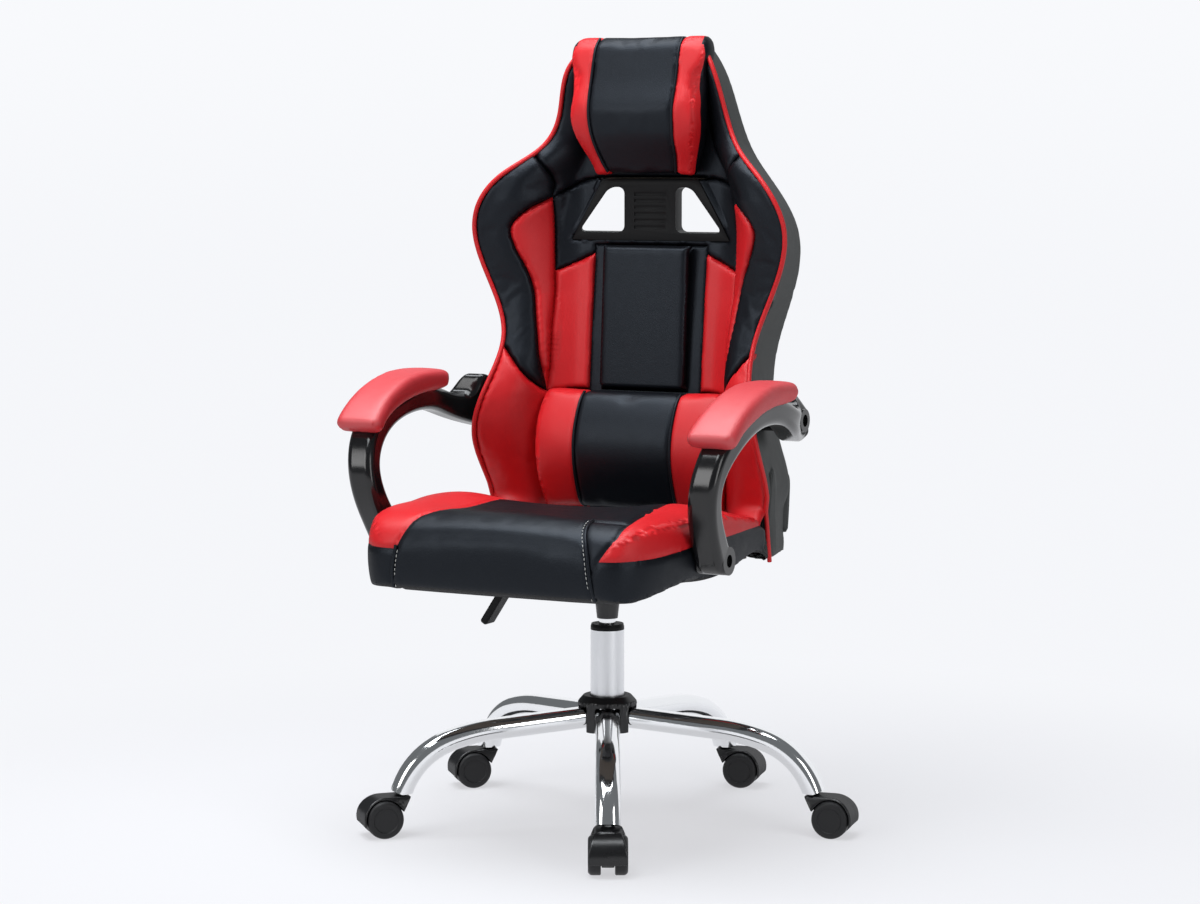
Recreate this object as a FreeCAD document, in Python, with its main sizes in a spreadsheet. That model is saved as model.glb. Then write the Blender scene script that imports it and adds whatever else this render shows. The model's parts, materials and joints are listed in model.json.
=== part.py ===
import FreeCAD, Part
import math
import os
import re
import Sketcher
from FreeCAD import Placement, Rotation, Vector

# A racing style swivel chair on a five-leg base, in millimetres. +Z is up, the chair faces -Y, +X is the
# sitter's left, and the origin is on the floor under the column.

SIZES = {
    # Clearances
    "gap": 0.3,
    "running_fit": 0.05,
    # Casters
    "wheel_radius": 27.5,
    "wheel_width": 18,
    "wheel_edge": 6,
    "wheel_rim": 3,
    "wheel_dish": 1.2,
    "wheel_web": 3,
    "wheel_side_gap": 0.8,
    "spine_width": 18,
    "axle_radius": 4,
    "caster_trail": 29,
    "hood_gap": 1.5,
    "hood_wall": 3.2,
    "hood_lead": 11,
    "hood_skirt": 12,
    "hood_foot_half": 11,
    "hood_tail_angle": 14,
    "hood_collar_radius": 10,
    "hood_collar": 2.2,
    "hood_round": 2.4,
    "stem_radius": 5.5,
    "stem_depth": 20,
    "stem_root": 18,
    # Way that each caster trails at rest, from +X
    "caster_heading_1": -63,
    "caster_heading_2": 9,
    "caster_heading_3": 11,
    "caster_heading_4": 223,
    "caster_heading_5": -135,
    # Base
    "base_turn": -63,
    "stem_circle": 317,
    "leg_width": 36,
    "leg_height": 31,
    "leg_round": 14,
    "leg_wall": 2,
    "leg_slope": 4,
    "leg_knee_turn": 14,
    "leg_knee_radius": 280,
    "leg_end_turn": 54,
    "leg_end_radius": 115,
    "leg_plug_turn": 18,
    "leg_trim": 1,
    "hub_radius": 32,
    "hub_below": 22,
    "hub_above": 28,
    "cover_radius": 44,
    "cover_wall": 3,
    "cover_below": 22,
    "cover_shoulder": 10,
    # Column
    "tube_radius": 25,
    "tube_wall": 2,
    "tube_floor": 4,
    "tube_recess": 6,
    "tube_above": 101,
    "bush_length": 80,
    "bush_lip": 9,
    "bush_lip_inset": 1.2,
    "bearing_radius": 14,
    "bearing_height": 8,
    "rod_radius": 5,
    "rod_flange": 3,
    "rod_flange_radius": 10,
    "rod_end": 3,
    "clip_height": 1.5,
    "clip_radius": 9,
    "gas_radius": 12.5,
    "gas_wall": 2,
    "gas_foot": 12,
    "gas_head": 13,
    "gas_show": 8,
    "piston_height": 10,
    "piston_room": 25,
    "button_radius": 4,
    "button_root": 8,
    # Tilt mechanism
    "socket_depth": 34,
    "socket_low_radius": 15.5,
    "socket_high_radius": 20,
    "housing_half": 48,
    "housing_wall": 3,
    "housing_front": 108,
    "housing_rear": 58,
    "housing_above_gas": 8,
    "housing_rear_height": 13,
    "stop_depth": 10,
    "pivot_ahead": 75,
    "pivot_height": 28,
    "pivot_radius": 5,
    "pivot_side_room": 17,
    "pin_head": 4,
    "plate_height": 53,
    "plate_thickness": 3,
    "plate_half": 95,
    "plate_front": 130,
    "plate_rear": 36,
    "flange_half": 17,
    "flange_drop": 12,
    "bolt_inset": 16,
    "bolt_radius": 3,
    "bolt_head_radius": 6,
    "bolt_head": 5,
    "bolt_grip": 10,
    "spring_wire_radius": 2,
    "spring_turns": 5,
    "spring_pitch": 4.8,
    "spring_inset": 10,
    # Lever
    "lever_pivot": 30,
    "lever_height": 11,
    "lever_rod_radius": 4,
    "lever_reach_in": 12,
    "lever_bend_at": 148,
    "lever_bend_radius": 16,
    "lever_bend": 57,
    "lever_tail": 44,
    "lever_slot_radius": 9,
    "lever_bush_radius": 6.5,
    "lever_bush_length": 18,
    "trunnion_radius": 3,
    "trunnion_length": 6,
    "ear_thickness": 4,
    "ear_half": 6,
    "grip_width": 30,
    "grip_thickness": 12,
    "grip_length": 74,
    "grip_start": 6,
    "grip_round": 4,
    "grip_rib_pitch": 6,
    "grip_rib_depth": 1,
    "grip_rib_count": 8,
    # Seat
    "board_half": 200,
    "board_front": 296,
    "board_rear": 44,
    "board_thickness": 12,
    "rail_outer": 212,
    "rail_width": 22,
    "rail_height": 30,
    "rail_front": 250,
    "rail_rear": 30,
    "seat_tuck": 6,
    # Back
    "back_split": 158,
    "back_board": 12,
    "back_board_inset": 34,
    "back_board_low": 30,
    "back_board_high": 24,
    "wing_bulge": 9,
    "lug_half_height": 22,
    "lug_width": 14,
    "lug_inset": 10,
    "lug_front": 74,
    "window_low": 457,
    "window_high": 525,
    "window_inner": 43,
    "window_outer_low": 120,
    "window_outer_high": 68,
    "window_flare": 32,
    "post_taper": 20,
    "bezel_rim": 12,
    "bezel_front": 141,
    "bezel_rear": 205,
    "post_rib_pitch": 10,
    "post_rib_depth": 2,
    "post_rib_count": 6,
    "post_rib_half": 26,
    # Pads on the back, heights above the seat board
    "pad_bow": 9,
    "pad_tuck": 4,
    "panel_half": 86,
    "panel_low": 224,
    "panel_high": 442,
    "panel_low_front": 108,
    "panel_high_front": 122,
    "channel_width": 14,
    "channel_depth": 5,
    "lumbar_half": 152,
    "lumbar_low": 42,
    "lumbar_high": 222,
    "lumbar_back": 117,
    "lumbar_low_front": 66,
    "lumbar_mid_front": 45,
    "lumbar_high_front": 74,
    "head_low": 542,
    "head_high": 751,
    "head_back": 144,
    "head_half_low": 90,
    "head_half_mid": 107,
    "head_half_high": 117,
    "head_front_low": 110,
    "head_front_mid": 72,
    "head_front_high": 103,
    # Arms
    "arm_width": 43,
    "arm_round": 11,
    "arm_pad_width": 68,
    "arm_pad_height": 20,
    "arm_pad_round": 9,
    "foot_ahead": 186,
    "foot_height": 14,
    "foot_boss_radius": 20,
    "rear_boss_behind": 82,
    "rear_boss_height": 188,
    "rear_boss_radius": 17,
    "arm_bolt_radius": 4,
    "arm_bolt_head_radius": 6.5,
    "arm_bolt_head": 5,
    "arm_recess_radius": 9,
    "arm_recess_depth": 16,
    "arm_bolt_bite": 12,
}

# Sections of the back from the bottom up: height above the seat board, half width and depth (y) of the
# piped front edge, half width of the flat middle, depth of the middle, half width and depth of the rear
# corner, and depth of the rear face.
BACK_FIELDS = ("height", "half", "wing", "flat", "middle", "corner", "corner_depth", "rear")
BACK_LEVELS = {
    "low": (-24, 224, 92, 148, 120, 204, 190, 212),
    "lap": (56, 230, 60, 150, 118, 208, 188, 214),
    "hip": (146, 236, 18, 150, 118, 200, 184, 215),
    "waist": (301, 210, 64, 142, 130, 199, 182, 215),
    "shoulder": (471, 257, 58, 146, 148, 226, 178, 214),
    "slope": (546, 210, 66, 126, 152, 178, 178, 210),
    "collar": (582, 166, 100, 108, 151, 154, 178, 208),
    "neck": (626, 142, 114, 98, 150, 136, 178, 205),
    "head": (714, 114, 110, 86, 148, 102, 176, 198),
    "crown": (738, 100, 124, 70, 150, 86, 172, 190),
}
# Sections of the seat from the front back: depth (y), half width, underside, crown and side height above
# the seat board.
SEAT_FIELDS = ("depth", "half", "under", "crown", "side")
SEAT_LEVELS = {
    "nose": (-358, 176, -20, 40, 26),
    "lip": (-346, 202, -34, 66, 50),
    "knee": (-308, 224, -32, 76, 63),
    "thigh": (-230, 240, -18, 77, 66),
    "lap": (-60, 240, -16, 62, 60),
    "tail": (54, 238, -16, 50, 44),
}
# Stations of an arm from its rear end over the top to the foot: distance out (x), depth (y), height above
# the seat board, angle of the run there below level, and thickness across the run.
ARM_FIELDS = ("out", "depth", "height", "dip", "thickness")
ARM_STATIONS = {
    "end": (252, 112, 183, 2, 46),
    "rise": (272, 36, 193, -6, 46),
    "top_rear": (284, -36, 209, -6, 36),
    "top": (284, -102, 210, 6, 34),
    "brow": (284, -168, 194, 24, 34),
    "turn": (280, -218, 164, 54, 38),
    "shin": (273, -240, 122, 88, 34),
    "calf": (267, -231, 76, 110, 36),
    "ankle": (263, -206, 36, 128, 40),
    "foot": (262, -182, 12, 140, 42),
}
PAD_STATIONS = ("top_rear", "top", "brow", "turn")

for table, fields, prefix in ((BACK_LEVELS, BACK_FIELDS, "back"), (SEAT_LEVELS, SEAT_FIELDS, "seat"),
                              (ARM_STATIONS, ARM_FIELDS, "arm")):
    for level, numbers in table.items():
        for field, number in zip(fields, numbers):
            SIZES[f"{prefix}_{level}_{field}"] = number

doc = FreeCAD.newDocument("gaming_chair")
sheet = doc.addObject("Spreadsheet::Sheet", "Sizes")
for row, (name, number) in enumerate(SIZES.items(), start=1):
    sheet.set(f"A{row}", name)
    sheet.set(f"B{row}", str(number))
    sheet.setAlias(f"B{row}", name)
doc.recompute()

# Heights that follow from the sizes, from the floor up
HOOD_OUTER = "(wheel_radius + hood_gap + hood_wall)"
HOOD_TOP = f"(wheel_radius + {HOOD_OUTER})"
LEG_TIP = f"({HOOD_TOP} + hood_collar + gap)"
HOOD_WIDTH = "(spine_width + 2 * (wheel_side_gap + wheel_width))"
KNEE_ANGLE = "((leg_slope + leg_knee_turn) * 1 deg)"
END_ANGLE = "((leg_slope + leg_knee_turn + leg_end_turn) * 1 deg)"
PLUG_ANGLE = "((leg_slope + leg_knee_turn + leg_end_turn - leg_plug_turn) * 1 deg)"
SLOPE = "(leg_slope * 1 deg)"
LEG_END_Z = f"({LEG_TIP} - leg_trim)"
KNEE_X = f"(stem_circle - leg_end_radius * (sin({END_ANGLE}) - sin({KNEE_ANGLE})))"
KNEE_Z = f"({LEG_END_Z} + leg_end_radius * (cos({KNEE_ANGLE}) - cos({END_ANGLE})))"
BEND_X = f"({KNEE_X} - leg_knee_radius * (sin({KNEE_ANGLE}) - sin({SLOPE})))"
BEND_Z = f"({KNEE_Z} + leg_knee_radius * (cos({SLOPE}) - cos({KNEE_ANGLE})))"
ROOT_X = "(hub_radius * 0.6)"
ROOT_Z = f"({BEND_Z} + ({BEND_X} - {ROOT_X}) * tan({SLOPE}))"
HUB_LOW = f"({ROOT_Z} - hub_below)"
HUB_TOP = f"({ROOT_Z} + hub_above)"
TUBE_LOW = HUB_LOW
TUBE_PLATE = f"({TUBE_LOW} + tube_recess)"
TUBE_TOP = f"({HUB_TOP} + tube_above)"
BUSH_TOP = f"({TUBE_TOP} + bush_lip)"
BEARING_LOW = f"({TUBE_PLATE} + tube_floor)"
FLANGE_LOW = f"({BEARING_LOW} + bearing_height)"
GAS_LOW = f"({FLANGE_LOW} + rod_flange + gas_wall)"
SOCKET_LOW = f"({BUSH_TOP} + gas_show)"
GAS_TOP = f"({SOCKET_LOW} + socket_depth)"
FLOOR_Z = f"({GAS_TOP} + housing_above_gas)"
LEVER_Z = f"({FLOOR_Z} + lever_height)"
BUTTON_TOP = f"({LEVER_Z} - lever_rod_radius - gap)"
PIVOT_Z = f"({FLOOR_Z} + pivot_height)"
PLATE_LOW = f"({FLOOR_Z} + plate_height)"
PLATE_TOP = f"({PLATE_LOW} + plate_thickness)"
DECK = f"({PLATE_TOP} + board_thickness)"
FOOT_Z = f"({DECK} + foot_height)"
REAR_BOSS_Z = f"({DECK} + rear_boss_height)"
LUG_OUTER = "(back_hip_corner - lug_inset)"

# Places of the bolts between the mechanism and the seat board
BOLT_SPOTS = [(x, y) for x in ("plate_half - bolt_inset", "bolt_inset - plate_half")
              for y in ("bolt_inset - plate_front", "plate_rear - bolt_inset")]

WORD = re.compile(r"[A-Za-z_]\w*")
parts = []


def sized(text):
    """The expression with each size in it read from the sheet."""
    return WORD.sub(lambda word: "Sizes." + word[0] if word[0] in SIZES else word[0], str(text))


def value(text):
    """The number that an expression has now."""
    number = sheet.evalExpression(sized(text))
    return float(getattr(number, "Value", number))


def bind(thing, path, text):
    thing.setExpression(path, sized(text))


def keep(thing, label, place=None):
    """Take an object as the sub-part of that name."""
    thing.Label = label
    if place is not None:
        thing.Placement = place
    parts.append(thing)
    return thing


def draw(sketch, points, closed=True):
    """Draw straight runs through points given as pairs of expressions. A third expression bends the run
    that starts there to that radius: bulging to the right of the run, or to the left if it is negative."""
    spots = [Vector(value(point[0]), value(point[1]), 0) for point in points]
    runs = len(points) if closed else len(points) - 1
    first = sketch.GeometryCount
    ends = []
    for index in range(runs):
        start = spots[index]
        end = spots[(index + 1) % len(points)]
        if len(points[index]) == 2:
            sketch.addGeometry(Part.LineSegment(start, end))
            ends.append((1, 2))
            continue
        radius = value(points[index][2])
        run = end - start
        left = Vector(-run.y, run.x, 0).normalize()
        depth = math.sqrt(max(radius ** 2 - (run.Length / 2) ** 2, 0))
        centre = (start + end) * 0.5 + left * math.copysign(depth, radius)
        circle = Part.Circle(centre, Vector(0, 0, 1), abs(radius))
        order = (start, end) if radius > 0 else (end, start)
        angles = [math.atan2(spot.y - centre.y, spot.x - centre.x) for spot in order]
        sketch.addGeometry(Part.ArcOfCircle(circle, *angles))
        ends.append((1, 2) if radius > 0 else (2, 1))
    for index in range(runs if closed else runs - 1):
        after = (index + 1) % runs
        sketch.addConstraint(Sketcher.Constraint("Coincident", first + index, ends[index][1],
                                                 first + after, ends[after][0]))
    for index, point in enumerate(points):
        run, end = (first + index, ends[index][0]) if index < runs else (first + runs - 1, ends[-1][1])
        for kind, text in zip(("DistanceX", "DistanceY"), point):
            number = sketch.addConstraint(Sketcher.Constraint(kind, -1, 1, run, end, value(text)))
            bind(sketch, f"Constraints[{number}]", text)
        if len(point) == 3:
            number = sketch.addConstraint(Sketcher.Constraint("Radius", first + index, abs(value(point[2]))))
            bind(sketch, f"Constraints[{number}]", f"abs({point[2]})")


def draw_circle(sketch, x, y, radius):
    circle = Part.Circle(Vector(value(x), value(y), 0), Vector(0, 0, 1), value(radius))
    index = sketch.addGeometry(circle)
    for kind, text in (("DistanceX", x), ("DistanceY", y)):
        number = sketch.addConstraint(Sketcher.Constraint(kind, -1, 1, index, 3, value(text)))
        bind(sketch, f"Constraints[{number}]", text)
    number = sketch.addConstraint(Sketcher.Constraint("Radius", index, value(radius)))
    bind(sketch, f"Constraints[{number}]", radius)


def rectangle(left, low, right, high):
    return [(left, low), (right, low), (right, high), (left, high)]


def rounded(half_width, half_height, radius, x="0", y="0"):
    """A rectangle with round corners about (x, y)."""
    outline = []
    for side_x, side_y, first_x in ((1, -1, True), (1, 1, False), (-1, 1, True), (-1, -1, False)):
        far_x = f"{x} + {side_x} * ({half_width})"
        far_y = f"{y} + {side_y} * ({half_height})"
        near_x = f"{x} + {side_x} * ({half_width} - ({radius}))"
        near_y = f"{y} + {side_y} * ({half_height} - ({radius}))"
        start, end = ((near_x, far_y), (far_x, near_y)) if first_x else ((far_x, near_y), (near_x, far_y))
        outline += [(*start, radius), end]
    return outline


def new_body(label):
    return doc.addObject("PartDesign::Body", label)


def sketch_on(body, plane, offset="0"):
    """A sketch on one of the body's own planes, moved along the plane's normal."""
    sketch = body.newObject("Sketcher::SketchObject", body.Name + "_sketch")
    flat = [feature for feature in body.Origin.OriginFeatures if feature.Role == plane][0]
    sketch.AttachmentSupport = [(flat, "")]
    sketch.MapMode = "FlatFace"
    bind(sketch, "AttachmentOffset.Base.z", offset)
    return sketch


def solid_step(body, kind, sketch, length, both_ways=False, backwards=False):
    """Add or cut the sketch's outline through a length."""
    step = body.newObject("PartDesign::" + kind, f"{body.Name}_{kind}")
    step.Profile = sketch
    step.SideType = "Symmetric" if both_ways else "One side"
    step.Reversed = backwards
    bind(step, "Length", length)
    return step


def pad(body, plane, points, length, offset="0", both_ways=False, backwards=False):
    sketch = sketch_on(body, plane, offset)
    draw(sketch, points)
    return solid_step(body, "Pad", sketch, length, both_ways, backwards)


def pocket(body, plane, points, length, offset="0", both_ways=False, backwards=False):
    sketch = sketch_on(body, plane, offset)
    draw(sketch, points)
    return solid_step(body, "Pocket", sketch, length, both_ways, backwards)


def round_step(body, kind, plane, circles, length, offset="0", both_ways=False, backwards=False):
    """Pad or pocket of circles, each (x, y, radius)."""
    sketch = sketch_on(body, plane, offset)
    for circle in circles:
        draw_circle(sketch, *circle)
    return solid_step(body, kind, sketch, length, both_ways, backwards)


def revolve(body, points):
    """Turn an outline of (radius, height) points about the body's Z axis."""
    sketch = sketch_on(body, "XZ_Plane")
    draw(sketch, points)
    step = body.newObject("PartDesign::Revolution", body.Name + "_turned")
    step.Profile = sketch
    step.ReferenceAxis = (sketch, ["V_Axis"])
    step.Angle = 360
    return step


def turned(label, points, place=None):
    body = new_body(label)
    revolve(body, points)
    return keep(body, label, place)


def ring(label, inner, outer, low, high, place=None):
    return turned(label, rectangle(inner, low, outer, high), place)


def pattern(body, kind, step, axis, count, span):
    """Repeat a step round an axis of the body, or along one."""
    made = body.newObject("PartDesign::" + kind, f"{body.Name}_{kind}")
    made.Originals = [step]
    feature = [item for item in body.Origin.OriginFeatures if item.Role == axis][0]
    if kind == "PolarPattern":
        made.Axis = (feature, [""])
        bind(made, "Angle", span)
    else:
        made.Direction = (feature, [""])
        bind(made, "Length", span)
    bind(made, "Occurrences", count)
    body.Tip = made
    return made


def pipe(body, kind, path, profile):
    step = body.newObject("PartDesign::" + kind, f"{body.Name}_{kind}")
    step.Profile = profile
    step.Spine = (path, [f"Edge{index + 1}" for index in range(path.GeometryCount)])
    return step


def fillet(body, base, radius, wanted):
    """Round the edges of the last step that the test picks."""
    base.recompute(True)
    names = [f"Edge{index + 1}" for index, edge in enumerate(base.Shape.Edges) if wanted(edge)]
    step = body.newObject("PartDesign::Fillet", body.Name + "_round")
    step.Base = (base, names)
    bind(step, "Radius", radius)
    return step


def cylinder(radius, height, x="0", y="0", z="0", axis=Vector(0, 0, 1)):
    made = doc.addObject("Part::Cylinder", "bar")
    bind(made, "Radius", radius)
    bind(made, "Height", height)
    made.Placement = Placement(Vector(), Rotation(Vector(0, 0, 1), axis))
    for letter, text in zip("xyz", (x, y, z)):
        bind(made, f"Placement.Base.{letter}", text)
    return made


def joined(kind, name, **links):
    """A boolean or group of other objects."""
    made = doc.addObject("Part::" + kind, name)
    for link, thing in links.items():
        setattr(made, link, thing)
    return made


def feature(label, shape):
    made = doc.addObject("Part::Feature", label)
    made.Shape = shape
    return keep(made, label, Placement())


def three_point(start, middle, end):
    return Part.Arc(Vector(*start), Vector(*middle), Vector(*end)).toShape()


def straight(start, end):
    return Part.LineSegment(Vector(*start), Vector(*end)).toShape()


def solid_loft(wires):
    return Part.makeLoft(wires, True, False)


def block(x_low, x_high, y_low, y_high, z_low, z_high):
    return Part.makeBox(x_high - x_low, y_high - y_low, z_high - z_low, Vector(x_low, y_low, z_low))


def bar_x(radius, x_low, x_high, y, z):
    return Part.makeCylinder(radius, x_high - x_low, Vector(x_low, y, z), Vector(1, 0, 0))


def make_wheel(label, place):
    dish = "wheel_width - wheel_dish"
    turned(label, [
        ("0", f"{dish} - wheel_web"),
        ("axle_radius + running_fit", f"{dish} - wheel_web"),
        ("axle_radius + running_fit", "0"),
        ("wheel_radius - wheel_dish", "0"),
        ("wheel_radius", "wheel_dish"),
        ("wheel_radius", "wheel_width - wheel_edge", "wheel_edge"),
        ("wheel_radius - wheel_edge", "wheel_width"),
        ("wheel_radius - wheel_edge - wheel_rim", "wheel_width"),
        ("wheel_radius - wheel_edge - wheel_rim - wheel_dish", dish),
        ("0", dish),
    ], place)


def make_hood(label, place):
    body = new_body(label)
    tail_y = f"caster_trail + {HOOD_OUTER} * cos(hood_tail_angle * 1 deg)"
    tail_z = f"wheel_radius - {HOOD_OUTER} * sin(hood_tail_angle * 1 deg)"
    pad(body, "YZ_Plane", [
        ("caster_trail + hood_foot_half", "hood_skirt"),
        (tail_y, tail_z, HOOD_OUTER),
        ("caster_trail", HOOD_TOP),
        ("-hood_lead", HOOD_TOP),
        ("caster_trail - hood_foot_half", "hood_skirt"),
    ], HOOD_WIDTH, both_ways=True)
    wells = [("caster_trail", "wheel_radius", "wheel_radius + hood_gap")]
    round_step(body, "Pocket", "YZ_Plane", wells, HOOD_WIDTH, "spine_width / 2", backwards=True)
    last = round_step(body, "Pocket", "YZ_Plane", wells, HOOD_WIDTH, "-spine_width / 2")
    outer = value(HOOD_WIDTH) / 2
    top = value(HOOD_TOP)
    lowest = value(tail_z)
    inner_curve = value("wheel_radius + hood_gap")

    def shoulder(edge):
        box = edge.BoundBox
        on_side = abs(abs(edge.CenterOfMass.x) - outer) < 0.01 and box.XLength < 0.01
        on_top = box.ZMin > top - 0.01
        outer_arc = hasattr(edge.Curve, "Radius") and edge.Curve.Radius > inner_curve + 0.1
        return on_side and (on_top or outer_arc and box.ZMin > lowest - 0.1)

    fillet(body, last, "hood_round", shoulder)
    round_step(body, "Pad", "XY_Plane", [("0", "0", "hood_collar_radius")], "hood_collar", HOOD_TOP)
    round_step(body, "Pocket", "XY_Plane", [("0", "0", "stem_radius")], "stem_root + hood_collar",
               f"{HOOD_TOP} + hood_collar")
    round_step(body, "Pocket", "YZ_Plane", [("caster_trail", "wheel_radius", "axle_radius + running_fit")],
               HOOD_WIDTH, both_ways=True)
    keep(body, label, place)


def make_casters():
    across = Rotation(Vector(0, 0, 1), Vector(1, 0, 0))
    across_back = Rotation(Vector(0, 0, 1), Vector(-1, 0, 0))
    trail = value("caster_trail")
    radius = value("wheel_radius")
    inner_face = value("spine_width / 2 + wheel_side_gap")
    blind = "(wheel_width - wheel_dish - wheel_web - gap)"
    axle_half = f"(spine_width / 2 + wheel_side_gap + {blind})"
    for number in range(1, 6):
        angle = math.radians(value("base_turn") + 72 * (number - 1))
        spot = Vector(math.cos(angle), math.sin(angle), 0) * value("stem_circle")
        heading = Rotation(Vector(0, 0, 1), value(f"caster_heading_{number}") - 90)
        place = Placement(spot, heading)
        make_hood(f"caster_{number}_hood", place)
        stem = cylinder("stem_radius", "stem_root + hood_collar + stem_depth", z=f"{HOOD_TOP} - stem_root")
        axle = cylinder("axle_radius", f"2 * {axle_half}", f"-{axle_half}", "caster_trail", "wheel_radius",
                        Vector(1, 0, 0))
        keep(joined("Compound", f"caster_{number}_pins", Links=[stem, axle]), f"caster_{number}_pins", place)
        for side, sign, turn in (("left", 1, across), ("right", -1, across_back)):
            local = Placement(Vector(sign * inner_face, trail, radius), turn)
            make_wheel(f"caster_{number}_wheel_{side}", place.multiply(local))


def make_leg(label, turn):
    body = new_body(label)
    half = ("leg_width / 2", "leg_height / 2", "leg_round")
    hollow = ("leg_width / 2 - leg_wall", "leg_height / 2 - leg_wall", "leg_round - leg_wall")
    for kind, section, stop in (("AdditivePipe", half, END_ANGLE), ("SubtractivePipe", hollow, PLUG_ANGLE)):
        stop_x = f"{KNEE_X} + leg_end_radius * (sin({stop}) - sin({KNEE_ANGLE}))"
        stop_z = f"{KNEE_Z} - leg_end_radius * (cos({KNEE_ANGLE}) - cos({stop}))"
        path = sketch_on(body, "XZ_Plane")
        draw(path, [
            (ROOT_X, ROOT_Z),
            (BEND_X, BEND_Z, "-leg_knee_radius"),
            (KNEE_X, KNEE_Z, "-leg_end_radius"),
            (stop_x, stop_z),
        ], closed=False)
        profile = sketch_on(body, "YZ_Plane", ROOT_X)
        draw(profile, rounded(*section, y=ROOT_Z))
        pipe(body, kind, path, profile)
    reach = "(leg_width + leg_height)"
    pocket(body, "XZ_Plane", rectangle(f"stem_circle - {reach}", f"{LEG_TIP} - leg_end_radius",
                                       f"stem_circle + {reach}", LEG_TIP), f"2 * {reach}", both_ways=True)
    round_step(body, "Pocket", "XY_Plane", [("stem_circle", "0", "stem_radius + running_fit")],
               "stem_depth + gap", LEG_TIP, backwards=True)
    round_step(body, "Pocket", "XY_Plane", [("0", "0", "hub_radius")], "4 * leg_height", ROOT_Z,
               both_ways=True)
    keep(body, label, Placement(Vector(), Rotation(Vector(0, 0, 1), turn)))


def make_base():
    turn = value("base_turn")
    for number in range(1, 6):
        make_leg(f"base_leg_{number}", turn + 72 * (number - 1))
    ring("base_hub", "tube_radius", "hub_radius", HUB_LOW, HUB_TOP)
    body = new_body("hub_cover")
    inner_top = f"{HUB_TOP} + gap"
    top = f"{inner_top} + cover_wall"
    low = f"{ROOT_Z} - cover_below"
    revolve(body, [
        ("tube_radius + gap", inner_top),
        ("hub_radius + gap", inner_top),
        ("cover_radius - cover_wall", f"{inner_top} - cover_shoulder"),
        ("cover_radius - cover_wall", low),
        ("cover_radius", low),
        ("cover_radius", f"{top} - cover_shoulder"),
        ("hub_radius + gap + cover_wall", top),
        ("tube_radius + gap", top),
    ])
    notch_half = "(leg_width / 2 + gap)"
    notch = pocket(body, "YZ_Plane",
                   rectangle(f"-{notch_half}", f"{low} - leg_height", notch_half,
                             f"{ROOT_Z} + leg_height / 2 + gap"), "2 * cover_radius", backwards=True)
    pattern(body, "PolarPattern", notch, "Z_Axis", "5", "360")
    keep(body, "hub_cover", Placement(Vector(), Rotation(Vector(0, 0, 1), turn)))


def make_column():
    bore = "(tube_radius - tube_wall)"
    turned("standing_tube", [
        ("rod_radius + gap", TUBE_PLATE),
        (bore, TUBE_PLATE),
        (bore, TUBE_LOW),
        ("tube_radius", TUBE_LOW),
        ("tube_radius", TUBE_TOP),
        (bore, TUBE_TOP),
        (bore, BEARING_LOW),
        ("rod_radius + gap", BEARING_LOW),
    ])
    turned("guide_bush", [
        ("gas_radius + running_fit", f"{TUBE_TOP} - bush_length"),
        (bore, f"{TUBE_TOP} - bush_length"),
        (bore, TUBE_TOP),
        ("tube_radius", TUBE_TOP),
        ("tube_radius", f"{BUSH_TOP} - bush_lip / 2"),
        ("tube_radius - bush_lip_inset", BUSH_TOP),
        ("gas_radius + running_fit", BUSH_TOP),
    ])
    ring("thrust_bearing", "rod_radius + gap", "bearing_radius", BEARING_LOW, FLANGE_LOW)
    clip_high = f"{TUBE_PLATE} - gap"
    clip_low = f"{clip_high} - clip_height"
    rod_low = f"{clip_low} - rod_end"
    gas_inside_top = f"({GAS_TOP} - gas_head)"
    piston_top = f"({gas_inside_top} - piston_room)"
    turned("piston_rod", [
        ("0", rod_low),
        ("rod_radius", rod_low),
        ("rod_radius", FLANGE_LOW),
        ("rod_flange_radius", FLANGE_LOW),
        ("rod_flange_radius", f"{FLANGE_LOW} + rod_flange"),
        ("rod_radius", f"{FLANGE_LOW} + rod_flange"),
        ("rod_radius", f"{piston_top} - piston_height"),
        ("gas_radius - gas_wall - running_fit", f"{piston_top} - piston_height"),
        ("gas_radius - gas_wall - running_fit", piston_top),
        ("0", piston_top),
    ])
    ring("retaining_clip", "rod_radius", "clip_radius", clip_low, clip_high)
    turned("gas_cylinder", [
        ("rod_radius + running_fit", GAS_LOW),
        ("gas_radius", GAS_LOW),
        ("gas_radius", GAS_TOP),
        ("button_radius + running_fit", GAS_TOP),
        ("button_radius + running_fit", gas_inside_top),
        ("gas_radius - gas_wall", gas_inside_top),
        ("gas_radius - gas_wall", f"{GAS_LOW} + gas_foot"),
        ("rod_radius + running_fit", f"{GAS_LOW} + gas_foot"),
    ])
    turned("release_button", rectangle("0", f"{GAS_TOP} - button_root", "button_radius", BUTTON_TOP))


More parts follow.
